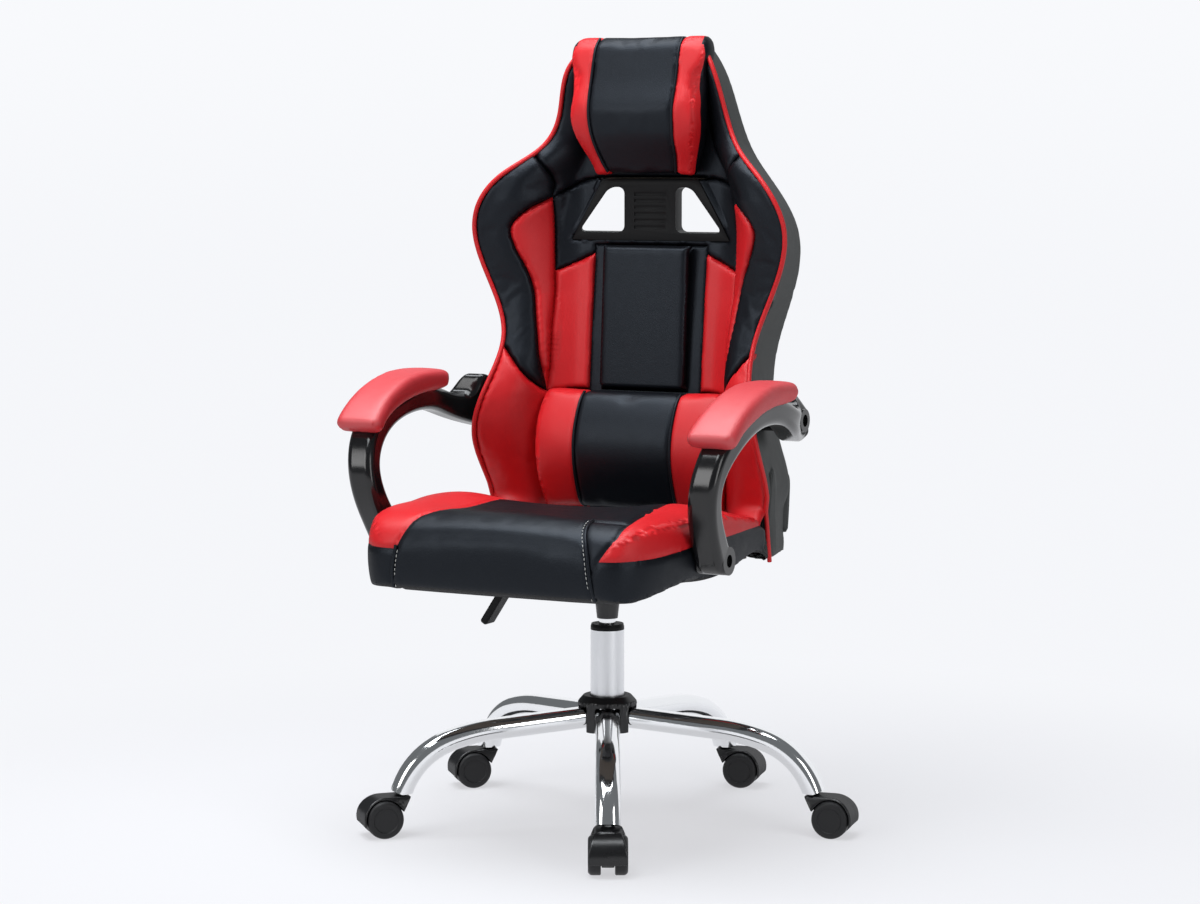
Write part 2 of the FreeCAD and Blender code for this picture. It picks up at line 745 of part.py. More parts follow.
def make_tilt_housing():
    body = new_body("tilt_housing")
    inner_floor = f"({FLOOR_Z} + housing_wall)"
    stop_top = f"({PLATE_LOW} - gap)"
    side_top = f"({PIVOT_Z} + pivot_side_room)"
    pad(body, "YZ_Plane", [
        ("-housing_front", f"{FLOOR_Z} + housing_wall"),
        ("housing_wall - housing_front", FLOOR_Z),
        ("housing_rear - housing_wall", FLOOR_Z),
        ("housing_rear", f"{FLOOR_Z} + housing_wall"),
        ("housing_rear", f"{FLOOR_Z} + housing_rear_height"),
        ("-pivot_ahead", side_top),
        ("stop_depth - housing_front", side_top),
        ("stop_depth - housing_front", stop_top),
        ("-housing_front", stop_top),
    ], "2 * housing_half", both_ways=True)
    pocket(body, "YZ_Plane",
           rectangle("housing_wall - housing_front", inner_floor, "housing_rear - housing_wall",
                     f"{stop_top} + plate_height"), "2 * (housing_half - housing_wall)", both_ways=True)
    revolve(body, [
        ("0", SOCKET_LOW),
        ("socket_low_radius", SOCKET_LOW),
        ("socket_high_radius", FLOOR_Z),
        ("0", FLOOR_Z),
    ])
    round_step(body, "Pocket", "XY_Plane", [("0", "0", "gas_radius + running_fit")], "2 * plate_height",
               SOCKET_LOW, backwards=True)
    ear_near = "(lever_bush_radius + gap)"
    ear = rectangle("-lever_pivot - ear_half", inner_floor,
                    "-lever_pivot + ear_half", f"{LEVER_Z} + ear_half")
    pad(body, "XZ_Plane", ear, "ear_thickness", ear_near)
    pad(body, "XZ_Plane", ear, "ear_thickness", f"-{ear_near}", backwards=True)
    round_step(body, "Pocket", "XZ_Plane", [("-lever_pivot", LEVER_Z, "trunnion_radius + running_fit")],
               f"2 * ({ear_near} + ear_thickness + gap)", both_ways=True)
    round_step(body, "Pocket", "YZ_Plane", [("0", LEVER_Z, "lever_slot_radius")], "2 * housing_wall",
               "-housing_half + housing_wall + gap")
    round_step(body, "Pocket", "YZ_Plane", [("-pivot_ahead", PIVOT_Z, "pivot_radius")], "4 * housing_half",
               both_ways=True)
    keep(body, "tilt_housing")


def make_seat_plate():
    body = new_body("seat_plate")
    depth_mid = "((plate_rear - plate_front) / 2)"
    pad(body, "XY_Plane", rounded("plate_half", "(plate_front + plate_rear) / 2", "bolt_inset", y=depth_mid),
        "plate_thickness", PLATE_LOW)
    flange = rectangle("-pivot_ahead - flange_half", f"{PIVOT_Z} - flange_drop",
                       "-pivot_ahead + flange_half", PLATE_LOW)
    pad(body, "YZ_Plane", flange, "plate_thickness", "housing_half + gap")
    pad(body, "YZ_Plane", flange, "plate_thickness", "-housing_half - gap", backwards=True)
    round_step(body, "Pocket", "YZ_Plane", [("-pivot_ahead", PIVOT_Z, "pivot_radius + running_fit")],
               "4 * housing_half", both_ways=True)
    holes = [(x, y, "bolt_radius + running_fit") for x, y in BOLT_SPOTS]
    round_step(body, "Pocket", "XY_Plane", holes, "2 * plate_thickness", PLATE_TOP)
    keep(body, "seat_plate")


def make_plate_bolts():
    bolts = []
    for x, y in BOLT_SPOTS:
        head = cylinder("bolt_head_radius", "bolt_head", x, y, f"{PLATE_LOW} - bolt_head")
        shank = cylinder("bolt_radius", "plate_thickness + bolt_grip", x, y, PLATE_LOW)
        bolts.append(joined("Fuse", "plate_bolt", Base=head, Tool=shank))
    keep(joined("Compound", "plate_bolts", Links=bolts), "plate_bolts")


def make_tilt_pin():
    half = "(housing_half + gap + plate_thickness + gap)"
    bar = cylinder("pivot_radius", f"2 * {half}", f"-{half}", "-pivot_ahead", PIVOT_Z, Vector(1, 0, 0))
    heads = [cylinder("pivot_radius + pin_head / 2", "pin_head", x, "-pivot_ahead", PIVOT_Z, Vector(1, 0, 0))
             for x in (half, f"-{half} - pin_head")]
    ends = joined("Fuse", "tilt_pin_ends", Base=heads[0], Tool=heads[1])
    keep(joined("Fuse", "tilt_pin", Base=bar, Tool=ends), "tilt_pin")


def make_tilt_springs():
    """A pair of coils about the tilt pin, each one unbroken wire."""
    pitch = value("spring_pitch")
    turns = value("spring_turns")
    wire = value("spring_wire_radius")
    radius = value("pivot_radius + gap") + wire
    inset = value("spring_inset")
    coils = []
    for hand in (1, -1):
        spine = Part.Wire(Part.makeHelix(pitch, pitch * turns, radius).Edges)
        slant = Vector(0, radius, pitch / (2 * math.pi))
        section = Part.Wire(Part.makeCircle(wire, Vector(radius, 0, 0), slant))
        coil = Part.BRepOffsetAPI.MakePipeShell(spine)
        coil.setFrenetMode(True)
        coil.add(section)
        coil.build()
        coil.makeSolid()
        made = coil.shape()
        made.Placement = Placement(Vector(hand * inset, -value("pivot_ahead"), value(PIVOT_Z)),
                                   Rotation(Vector(0, 0, 1), Vector(hand, 0, 0)))
        coils.append(made)
    print("spring turns lie", round(pitch - 2 * wire, 2), "mm apart")
    feature("tilt_springs", Part.makeCompound(coils))


def make_lever():
    body = new_body("lever_bush")
    half = "lever_bush_length / 2"
    round_step(body, "Pad", "YZ_Plane", [("0", "0", "lever_bush_radius")], f"2 * {half}", both_ways=True)
    round_step(body, "Pad", "XZ_Plane", [("0", "0", "trunnion_radius")],
               "2 * (lever_bush_radius + trunnion_length)", both_ways=True)
    round_step(body, "Pocket", "YZ_Plane", [("0", "0", "lever_rod_radius + running_fit")], f"4 * {half}",
               both_ways=True)
    keep(body, "lever_bush", Placement(Vector(-value("lever_pivot"), 0, value(LEVER_Z)), Rotation()))

    body = new_body("lever_rod")
    bend = "(lever_bend * 1 deg)"
    turn_x = f"(-lever_bend_at - lever_bend_radius * sin({bend}))"
    turn_z = f"({LEVER_Z} - lever_bend_radius * (1 - cos({bend})))"
    path = sketch_on(body, "XZ_Plane")
    draw(path, [
        ("lever_reach_in", LEVER_Z),
        ("-lever_bend_at", LEVER_Z, "lever_bend_radius"),
        (turn_x, turn_z),
        (f"{turn_x} - lever_tail * cos({bend})", f"{turn_z} - lever_tail * sin({bend})"),
    ], closed=False)
    profile = sketch_on(body, "YZ_Plane", "lever_reach_in")
    draw_circle(profile, "0", LEVER_Z, "lever_rod_radius")
    pipe(body, "AdditivePipe", path, profile)
    keep(body, "lever_rod")

    body = new_body("lever_grip")
    main = pad(body, "XY_Plane", rounded("grip_width / 2", "grip_thickness / 2", "grip_round"), "grip_length")
    end_z = value("grip_length")
    fillet(body, main, "grip_round", lambda edge: edge.BoundBox.ZMin > end_z - 0.01)
    rib = pocket(body, "XZ_Plane",
                 rectangle("-grip_width", "grip_rib_pitch", "grip_width", "grip_rib_pitch * 1.4"),
                 "grip_thickness", "grip_thickness / 2 - grip_rib_depth", backwards=True)
    pattern(body, "LinearPattern", rib, "Z_Axis", "grip_rib_count", "grip_rib_pitch * (grip_rib_count - 1)")
    round_step(body, "Pocket", "XY_Plane", [("0", "0", "lever_rod_radius")], "lever_tail - grip_start",
               backwards=True)
    tilt = math.radians(value("lever_bend"))
    along = Vector(-math.cos(tilt), 0, -math.sin(tilt))
    wide = Vector(0, 1, 0)
    start = Vector(value(turn_x), 0, value(turn_z)) + along * value("grip_start")
    keep(body, "lever_grip", Placement(start, Rotation(wide, along.cross(wide), along, "ZXY")))


def make_seat_frame():
    body = new_body("seat_frame")
    board_mid = "((board_rear - board_front) / 2)"
    pad(body, "XY_Plane", rounded("board_half", "(board_front + board_rear) / 2", "rail_width", y=board_mid),
        "board_thickness", PLATE_TOP)
    for sign in (1, -1):
        edges = sorted((f"{sign} * (rail_outer - rail_width)", f"{sign} * rail_outer"), key=value)
        rail = rectangle(edges[0], "-rail_front", edges[1], "rail_rear")
        pad(body, "XY_Plane", rail, "board_thickness + rail_height", PLATE_TOP)
    holes = [(x, y, "bolt_radius + running_fit") for x, y in BOLT_SPOTS]
    round_step(body, "Pocket", "XY_Plane", holes, "bolt_grip + gap", PLATE_TOP, backwards=True)
    round_step(body, "Pocket", "YZ_Plane", [("-foot_ahead", FOOT_Z, "arm_bolt_radius + running_fit")],
               "4 * rail_outer", both_ways=True)
    keep(body, "seat_frame")


def seat_section(level):
    y, half, under, crown, side = [value(f"seat_{level}_{field}") for field in SEAT_FIELDS]
    deck = value(DECK)
    edge = half - value("seat_tuck")
    low, high = deck + under, deck + side
    middle = (low + high) / 2
    return Part.Wire([
        straight((-edge, y, low), (edge, y, low)),
        three_point((edge, y, low), (half, y, middle), (edge, y, high)),
        three_point((edge, y, high), (0, y, deck + crown), (-edge, y, high)),
        three_point((-edge, y, high), (-half, y, middle), (-edge, y, low)),
    ])


def make_seat_cushion():
    """Foam and cover of the seat, hollow below for the board and its rails."""
    cushion = solid_loft([seat_section(level) for level in SEAT_LEVELS])
    gap = value("gap")
    deck = value(DECK)
    half = value("board_half") + gap
    room = block(-half, half, -value("board_front") - gap, value("board_rear") + gap, 0, deck + gap)
    rail_in = value("rail_outer - rail_width") - gap
    rail_out = value("rail_outer") + gap
    rail_y = (-value("rail_front") - gap, value("rail_rear") + gap)
    rail_top = deck + value("rail_height") + gap
    bolt = value("arm_bolt_radius") + gap
    reach = value("arm_foot_out")
    tools = [room]
    for side in (1, -1):
        tools.append(block(*sorted((side * rail_in, side * rail_out)), *rail_y, 0, rail_top))
        ends = sorted((side * rail_in, side * reach))
        tools.append(bar_x(bolt, *ends, -value("foot_ahead"), value(FOOT_Z)))
    cushion = cushion.cut(tools)
    feature("seat_cushion", cushion)
    return cushion


def back_section(level):
    height, half, wing, flat, middle, corner, corner_depth, rear = [
        value(f"back_{level}_{field}") for field in BACK_FIELDS]
    z = value(DECK) + height
    run = Vector(half - flat, wing - middle, 0)
    bulge = Vector(run.y, -run.x, 0).normalize() * value("wing_bulge")
    swell_x = (flat + half) / 2 + bulge.x
    swell_y = (middle + wing) / 2 + bulge.y
    return Part.Wire([
        straight((-flat, middle, z), (flat, middle, z)),
        three_point((flat, middle, z), (swell_x, swell_y, z), (half, wing, z)),
        straight((half, wing, z), (corner, corner_depth, z)),
        three_point((corner, corner_depth, z), (0, rear, z), (-corner, corner_depth, z)),
        straight((-corner, corner_depth, z), (-half, wing, z)),
        three_point((-half, wing, z), (-swell_x, swell_y, z), (-flat, middle, z)),
    ])


def outline_wire(outline, depth):
    """A closed wire through (x, z) corners at one depth."""
    corners = [Vector(x, depth, z) for x, z in outline]
    return Part.makePolygon(corners + corners[:1])


def prism_y(outline, front, rear):
    """An (x, z) outline run from one depth to another."""
    return Part.Face(outline_wire(outline, front)).extrude(Vector(0, rear - front, 0))


def flared(outline_at, front, rear):
    """A tunnel between two depths whose outline opens towards the rear."""
    return Part.makeLoft([outline_wire(outline_at(depth), depth) for depth in (front, rear)], True, True)


def flare_at(depth):
    """Share of the windows' flare that is reached at a depth."""
    return (depth - value("bezel_front")) / value("bezel_rear - bezel_front")


def window_at(depth, side):
    share = flare_at(depth)
    low = value(DECK) + value("window_low")
    high = value(DECK) + value("window_high")
    inner = value("window_inner") - value("post_taper") * share
    flare = value("window_flare") * share
    corners = [(inner, low), (value("window_outer_low") + flare, low),
               (value("window_outer_high") + flare, high), (inner, high)]
    return [(side * x, z) for x, z in corners]


def bezel_at(depth, grow):
    """Corners of the window surround at a depth, grown on every side."""
    rim = value("bezel_rim") + grow
    flare = value("window_flare") * flare_at(depth)
    low = value(DECK) + value("window_low") - rim
    high = value(DECK) + value("window_high") + rim
    wide = value("window_outer_low") + rim + flare
    narrow = value("window_outer_high") + rim + flare
    return [(-wide, low), (wide, low), (narrow, high), (-narrow, high)]


def board_outline(grow):
    deck = value(DECK)
    inset = value("back_board_inset") - grow
    side = [(value(f"back_{level}_corner") - inset, deck + value(f"back_{level}_height"))
            for level in BACK_LEVELS]
    side[0] = (side[0][0], side[0][1] + value("back_board_low") - grow)
    side[-1] = (side[-1][0], side[-1][1] - value("back_board_high") + grow)
    return side + [(-x, z) for x, z in reversed(side)]


def lug_boxes(grow):
    """Blocks at the sides of the back board that the arm bolts screw into."""
    z = value(REAR_BOSS_Z)
    half = value("lug_half_height") + grow
    outer = value(LUG_OUTER)
    inner = outer - value("lug_width")
    front = value("lug_front") - grow
    rear = value("back_split")
    return [block(low - grow, high + grow, front, rear, z - half, z + half)
            for low, high in ((inner, outer), (-outer, -inner))]


def make_back():
    """Front cushion, rear cover and the board between them, open at the windows."""
    gap = value("gap")
    split = value("back_split")
    thick = value("back_board")
    far = 2 * value("back_shoulder_half")
    low = value(DECK) + value("back_low_height")
    high = value(DECK) + value("back_crown_height")
    envelope = solid_loft([back_section(level) for level in BACK_LEVELS])
    front_side = block(-far, far, -far, split, low - far, high + far)
    before, behind = value("bezel_front - bezel_rim"), value("bezel_rear + bezel_rim")
    opening = flared(lambda depth: bezel_at(depth, gap), before, behind)
    bolt_y = value("rear_boss_behind")
    bolt_z = value(REAR_BOSS_Z)
    bolt_inner = value(LUG_OUTER) - value("lug_width")
    loose = value("arm_bolt_radius") + gap
    holes = [bar_x(loose, *sorted((side * bolt_inner, side * far)), bolt_y, bolt_z) for side in (1, -1)]
    front = envelope.common(front_side).cut([opening] + lug_boxes(gap) + holes)
    pocket_for_board = prism_y(board_outline(gap), split, split + thick + gap)
    cover = envelope.cut([front_side, opening, pocket_for_board])
    thread = bar_x(value("arm_bolt_radius") + value("running_fit"), -far, far, bolt_y, bolt_z)
    board = prism_y(board_outline(0), split, split + thick).cut(opening).fuse(lug_boxes(0)).cut(thread)
    feature("back_cushion", front)
    feature("back_cover", cover)
    feature("back_frame", board.removeSplitter())
    return front, cover


def make_bezel():
    """Plastic surround of both windows, with ribs across the post between them."""
    front = value("bezel_front")
    rear = value("bezel_rear")
    rim = value("bezel_rim")
    tools = [flared(lambda depth, side=side: window_at(depth, side), front - rim, rear + rim)
             for side in (1, -1)]
    low = value(DECK) + value("window_low")
    rib_half = value("post_rib_half")
    pitch = value("post_rib_pitch")
    groove = front + value("post_rib_depth")
    for number in range(int(value("post_rib_count"))):
        z = low + pitch * (number + 0.5)
        tools.append(block(-rib_half, rib_half, front - rim, groove, z, z + pitch / 2))
    feature("window_bezel", flared(lambda depth: bezel_at(depth, 0), front, rear).cut(tools))


def pad_section(half, front, back, z, bow):
    """A pad's outline at one height: flat behind, drawn in at the sides, crowned in front."""
    edge = half - bow / 2
    shoulder = front + bow / 2
    return Part.Wire([
        straight((half - bow, back, z), (-half + bow, back, z)),
        three_point((-half + bow, back, z), (-half, front + 2 * bow, z), (-edge, shoulder, z)),
        three_point((-edge, shoulder, z), (0, front, z), (edge, shoulder, z)),
        three_point((edge, shoulder, z), (half, front + 2 * bow, z), (half - bow, back, z)),
    ])


def stacked_pad(low, high, back, bow, sections):
    """A pad through sections, each (share of the height, half width, front)."""
    return solid_loft([pad_section(half, front, back, low + (high - low) * share, bow)
                       for share, half, front in sections])


def make_pads(cushion):
    """The sewn pads on the front of the back, each cut to lie on the cushion behind it."""
    deck = value(DECK)
    bow = value("pad_bow")
    tuck = value("pad_tuck")

    half = value("lumbar_half")
    low_front, mid_front, high_front = [value(f"lumbar_{at}_front") for at in ("low", "mid", "high")]
    lumbar = stacked_pad(deck + value("lumbar_low"), deck + value("lumbar_high"), value("lumbar_back"), bow, [
        (0, half - tuck, low_front + tuck),
        (0.08, half, low_front),
        (0.5, half, mid_front),
        (0.92, half, high_front - tuck),
        (1, half - tuck, high_front + tuck),
    ])
    feature("lumbar_pad", lumbar.cut(cushion))

    low_half, mid_half, high_half = [value(f"head_half_{at}") for at in ("low", "mid", "high")]
    low_front, mid_front, high_front = [value(f"head_front_{at}") for at in ("low", "mid", "high")]
    head = stacked_pad(deck + value("head_low"), deck + value("head_high"), value("head_back"), bow, [
        (0, low_half - tuck, low_front + tuck),
        (0.06, low_half, low_front),
        (0.48, mid_half, mid_front),
        (0.86, high_half, high_front - 2 * tuck),
        (0.96, high_half - tuck, high_front),
        (1, high_half - 4 * tuck, high_front + 3 * tuck),
    ])
    feature("headrest_pad", head.cut(cushion))

    low, high = deck + value("panel_low"), deck + value("panel_high")
    half = value("panel_half")
    low_front, high_front = value("panel_low_front"), value("panel_high_front")
    panel = stacked_pad(low, high, value("back_split"), tuck, [(0, half, low_front), (1, half, high_front)])
    lean = Vector(0, high_front - low_front, high - low)
    width = value("channel_width") / 2
    floor = low_front + value("channel_depth")
    tools = [cushion]
    for side in (1, -1):
        middle = side * (half - width)
        left, right = middle - width / 2, middle + width / 2
        corners = [Vector(x, y, low) for x, y in ((left, 0), (right, 0), (right, floor), (left, floor))]
        tools.append(Part.Face(Part.makePolygon(corners + corners[:1])).extrude(lean))
    feature("centre_panel", panel.cut(tools))


def arm_frame(station, side):
    """Centre of an arm's section there, the way across the run, and the section's thickness."""
    out, depth, height, dip, thickness = [value(f"arm_{station}_{field}") for field in ARM_FIELDS]
    angle = math.radians(dip)
    normal = Vector(0, -math.sin(angle), math.cos(angle))
    return Vector(side * out, depth, value(DECK) + height), normal, thickness


def bar_section(centre, normal, width, thickness, radius):
    """A rectangle with round corners across an arm."""
    along = Vector(1, 0, 0)
    half_x, half_n = width / 2, thickness / 2
    small = radius * (1 - math.sqrt(0.5))

    def at(x, n):
        return tuple(centre + along * x + normal * n)

    edges = []
    for sign_x, sign_n in ((1, -1), (1, 1), (-1, 1), (-1, -1)):
        flank = at(sign_x * half_x, sign_n * (half_n - radius))
        cap = at(sign_x * (half_x - radius), sign_n * half_n)
        knuckle = at(sign_x * (half_x - small), sign_n * (half_n - small))
        start, end = (cap, flank) if sign_x * sign_n < 0 else (flank, cap)
        if edges:
            edges.append(straight(tuple(edges[-1].Vertexes[-1].Point), start))
        edges.append(three_point(start, knuckle, end))
    edges.append(straight(tuple(edges[-1].Vertexes[-1].Point), tuple(edges[0].Vertexes[0].Point)))
    return Part.Wire(edges)


def arm_posts():
    """The two posts of an arm: radius, depth, height, inner end, outer end, and how far in the bolt bites."""
    half = value("arm_width") / 2
    behind = value("rear_boss_behind")
    share = value("rear_boss_behind - arm_rise_depth") / value("arm_end_depth - arm_rise_depth")
    rear_out = value("arm_rise_out") + value("arm_end_out - arm_rise_out") * share + half
    foot_out = value("arm_foot_out") + half
    rail = value("rail_outer")
    lug = value(LUG_OUTER)
    bite = value("arm_bolt_bite")
    return [
        (value("foot_boss_radius"), -value("foot_ahead"), value(FOOT_Z), rail, foot_out, rail - bite),
        (value("rear_boss_radius"), behind, value(REAR_BOSS_Z), lug, rear_out, lug - bite),
    ]


def make_arms(clear_of):
    """Arms cut to lie against the seat and the back, their pads, and the bolts through both ends."""
    bolts = []
    recess = value("arm_recess_depth")
    height = value("arm_pad_height")
    pad_round = value("arm_pad_round")
    for name, side in (("left", 1), ("right", -1)):

        def post(radius, inner, outer, y, z):
            return bar_x(radius, *sorted((side * inner, side * outer)), y, z)

        sections = []
        for station in ARM_STATIONS:
            centre, normal, thickness = arm_frame(station, side)
            sections.append(bar_section(centre, normal, value("arm_width"), thickness, value("arm_round")))
        posts, tools = [], []
        for radius, y, z, inner, outer, bite in arm_posts():
            seat = outer - recess
            beyond = outer + value("arm_width")
            posts.append(post(radius, inner, outer, y, z))
            tools.append(post(value("arm_recess_radius"), seat, beyond, y, z))
            tools.append(post(value("arm_bolt_radius") + value("gap"), bite, beyond, y, z))
            shank = post(value("arm_bolt_radius"), bite, seat, y, z)
            head = post(value("arm_bolt_head_radius"), seat, seat + value("arm_bolt_head"), y, z)
            bolts.append(shank.fuse(head))
        arm = solid_loft(sections).fuse(posts).cut(tools + clear_of)
        feature(f"arm_{name}", arm)

        layers = []
        for station in PAD_STATIONS:
            centre, normal, thickness = arm_frame(station, side)
            middle = centre + normal * (thickness + height) * 0.5
            layers.append(bar_section(middle, normal, value("arm_pad_width"), height, pad_round))
        feature(f"arm_pad_{name}", solid_loft(layers).cut(arm))
    feature("arm_bolts", Part.makeCompound(bolts))


make_casters()
make_base()
make_column()
make_tilt_housing()
make_seat_plate()
make_plate_bolts()
make_tilt_pin()
make_tilt_springs()
make_lever()
make_seat_frame()
seat = make_seat_cushion()
back_front, back_rear = make_back()
make_bezel()
make_pads(back_front)
make_arms([seat, back_front, back_rear])
doc.recompute()

for thing in doc.Objects:
    if "Invalid" in thing.State or "Error" in thing.State:
        raise RuntimeError(f"{thing.Label} failed: {thing.State}")
for part in parts:
    if part.Shape.isNull() or not part.Shape.isValid():
        raise RuntimeError(f"{part.Label} has no valid shape")

os.makedirs("parts", exist_ok=True)
for part in parts:
    part.Shape.exportStep(f"parts/{part.Label}.step")
print(len(parts), "sub-parts written")
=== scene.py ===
import json
import math

import bpy
import numpy as np
from mathutils import Matrix, Vector, kdtree
from mathutils.bvhtree import BVHTree
from mathutils.geometry import delaunay_2d_cdt


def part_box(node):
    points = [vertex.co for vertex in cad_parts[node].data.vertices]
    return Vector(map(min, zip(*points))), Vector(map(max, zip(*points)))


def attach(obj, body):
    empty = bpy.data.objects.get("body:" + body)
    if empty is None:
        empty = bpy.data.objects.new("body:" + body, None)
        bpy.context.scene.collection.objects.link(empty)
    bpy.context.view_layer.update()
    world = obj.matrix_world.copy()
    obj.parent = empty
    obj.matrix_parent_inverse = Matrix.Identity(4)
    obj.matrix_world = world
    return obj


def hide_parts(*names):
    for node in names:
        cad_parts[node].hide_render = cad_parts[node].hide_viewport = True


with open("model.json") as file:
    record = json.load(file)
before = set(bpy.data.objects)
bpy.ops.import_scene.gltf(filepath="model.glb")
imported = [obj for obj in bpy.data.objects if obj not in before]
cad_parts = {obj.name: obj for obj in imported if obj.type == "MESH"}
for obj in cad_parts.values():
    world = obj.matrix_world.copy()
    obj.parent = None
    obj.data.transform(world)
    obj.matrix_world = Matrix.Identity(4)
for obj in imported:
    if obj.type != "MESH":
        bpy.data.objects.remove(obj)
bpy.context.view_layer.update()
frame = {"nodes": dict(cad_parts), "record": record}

# The looks of a racing style swivel chair, in metres. +Z is up, the chair faces -Y and +X is the sitter's left.

bpy.ops.object.select_all(action="DESELECT")
nodes = frame["nodes"]
scene = bpy.context.scene


# Materials

class Socket:
    """A value in a material. Arithmetic on it adds Math nodes."""

    def __init__(self, paint, link):
        self.paint = paint
        self.link = link

    def maths(self, operation, first, second):
        return self.paint.node("ShaderNodeMath", {"operation": operation}, {0: first, 1: second})

    def __add__(self, other):
        return self.maths("ADD", self, other)

    def __radd__(self, other):
        return self.maths("ADD", other, self)

    def __sub__(self, other):
        return self.maths("SUBTRACT", self, other)

    def __rsub__(self, other):
        return self.maths("SUBTRACT", other, self)

    def __mul__(self, other):
        return self.maths("MULTIPLY", self, other)

    def __rmul__(self, other):
        return self.maths("MULTIPLY", other, self)

    def __pow__(self, other):
        return self.maths("POWER", self, other)


class Paint:
    """A material under construction."""

    def __init__(self, name):
        self.material = bpy.data.materials.new(name)
        self.material.use_nodes = True
        self.tree = self.material.node_tree
        self.shader = self.tree.nodes["Principled BSDF"]

    def feed(self, socket, value):
        if isinstance(value, Socket):
            self.tree.links.new(value.link, socket)
        else:
            socket.default_value = value

    def node(self, kind, settings=None, inputs=None, output=0):
        made = self.tree.nodes.new(kind)
        for key, value in (settings or {}).items():
            if key == "stops":
                for element, (place, shade) in zip(made.color_ramp.elements, value):
                    element.position = place
                    element.color = (shade, shade, shade, 1)
            else:
                setattr(made, key, value)
        for key, value in (inputs or {}).items():
            self.feed(made.inputs[key], value)
        return Socket(self, made.outputs[output])

    def place(self, stretch=(1, 1, 1)):
        spot = self.node("ShaderNodeTexCoord", output="Object")
        return self.node("ShaderNodeMapping", None, {"Vector": spot, "Scale": stretch})

    def noise(self, scale, detail=2.0, stretch=(1, 1, 1)):
        return self.node("ShaderNodeTexNoise", None,
                         {"Vector": self.place(stretch), "Scale": scale, "Detail": detail})

    def cells(self, scale, feature="F1"):
        return self.node("ShaderNodeTexVoronoi", {"feature": feature},
                         {"Vector": self.place(), "Scale": scale}, "Distance")

    def ramp(self, value, low, high):
        return self.node("ShaderNodeValToRGB", {"stops": ((low, 0), (high, 1))}, {"Fac": value})

    def mix(self, share, first, second):
        return self.node("ShaderNodeMix", {"data_type": "RGBA"}, {0: share, 6: first, 7: second}, 2)

    def bump(self, height, distance, strength=1.0):
        return self.node("ShaderNodeBump", None, {"Height": height, "Distance": distance, "Strength": strength})

    def set(self, **values):
        for key, value in values.items():
            self.feed(self.shader.inputs[key.replace("_", " ")], value)
        return self.material


def rgb(red, green, blue):
    """A colour with full cover."""
    return (red, green, blue, 1.0)


def leather(name, colour, deep, roughness, shine=0.5, tint=(1, 1, 1)):
    """Grained leather cloth: pores between small cells, with slow changes of tone and of gloss."""
    paint = Paint(name)
    grain = paint.cells(900, "SMOOTH_F1")
    fine = paint.noise(2600, 1)
    tone = paint.noise(14, 3)
    rub = paint.noise(60, 3)
    pores = paint.ramp(grain, 0.25, 0.75)
    shade = paint.mix(tone * 0.55 + pores * 0.15, rgb(*colour), rgb(*deep))
    height = grain * -1.0 + fine * 0.25
    return paint.set(Base_Color=shade, Roughness=roughness + rub * 0.12 + pores * 0.06, Specular_IOR_Level=shine,
                     Specular_Tint=rgb(*tint), Normal=paint.bump(height, 0.0005, 0.35))


def moulded(name, colour, roughness, grain, shine=0.5):
    """Moulded plastic with a fine spark-eroded grain and faint handling marks."""
    paint = Paint(name)
    spark = paint.noise(3200, 2)
    marks = paint.noise(35, 4)
    shade = paint.mix(marks * 0.5, rgb(*colour), rgb(*[tone * 1.5 for tone in colour]))
    return paint.set(Base_Color=shade, Roughness=roughness + marks * 0.14, Specular_IOR_Level=shine,
                     Normal=paint.bump(spark, 0.0002, grain))


def plated(name, colour, roughness, streak):
    """Bright or satin metal with faint streaks along its length."""
    paint = Paint(name)
    lines = paint.noise(900, 2, streak)
    marks = paint.noise(25, 3)
    shade = paint.mix(marks * 0.3, rgb(*colour), rgb(*[tone * 0.86 for tone in colour]))
    return paint.set(Base_Color=shade, Metallic=1.0, Roughness=roughness + lines * 0.06 + marks * 0.04,
                     Normal=paint.bump(lines, 0.00003, 0.2))


def plywood(name):
    paint = Paint(name)
    grain = paint.noise(60, 4, (1, 8, 8))
    shade = paint.mix(grain, rgb(0.045, 0.035, 0.028), rgb(0.075, 0.058, 0.044))
    return paint.set(Base_Color=shade, Roughness=0.7 + grain * 0.1, Normal=paint.bump(grain, 0.0003, 0.3))


def felted(name, colour):
    """Unwoven cloth under the seat and sewing thread: short crossed fibres."""
    paint = Paint(name)
    fibre = paint.noise(1800, 3, (1, 6, 1)) * 0.5 + paint.noise(1800, 3, (6, 1, 1)) * 0.5
    shade = paint.mix(fibre, rgb(*[tone * 0.7 for tone in colour]), rgb(*[tone * 1.25 for tone in colour]))
    return paint.set(Base_Color=shade, Roughness=0.85, Normal=paint.bump(fibre, 0.0003, 0.4))


RED = leather("red_leather", (0.66, 0.014, 0.019), (0.50, 0.008, 0.011), 0.34, 0.32)
# A paler, pinker copy of the red leather for the arm pads: painted sheen of the overhead light on their tops
RED_WITH_PAINTED_SHEEN = leather("red_leather_painted_sheen", (0.60, 0.040, 0.050), (0.50, 0.024, 0.030), 0.40, 0.85)
BLACK = leather("black_leather", (0.0055, 0.0062, 0.0085), (0.003, 0.0034, 0.0045), 0.31, 0.26, (0.74, 0.85, 1.0))
GREY = leather("grey_leather", (0.026, 0.030, 0.029), (0.017, 0.020, 0.019), 0.44)
TRIM = moulded("black_trim", (0.004, 0.004, 0.0045), 0.42, 0.30, 0.16)
WALL = moulded("grey_trim", (0.115, 0.120, 0.118), 0.42, 0.20, 0.4)
GLOSS = moulded("gloss_plastic", (0.0045, 0.0045, 0.005), 0.10, 0.04)
HOOD = moulded("hood_plastic", (0.008, 0.008, 0.009), 0.22, 0.12)
WHEEL = moulded("wheel_plastic", (0.010, 0.010, 0.011), 0.44, 0.35, 0.35)
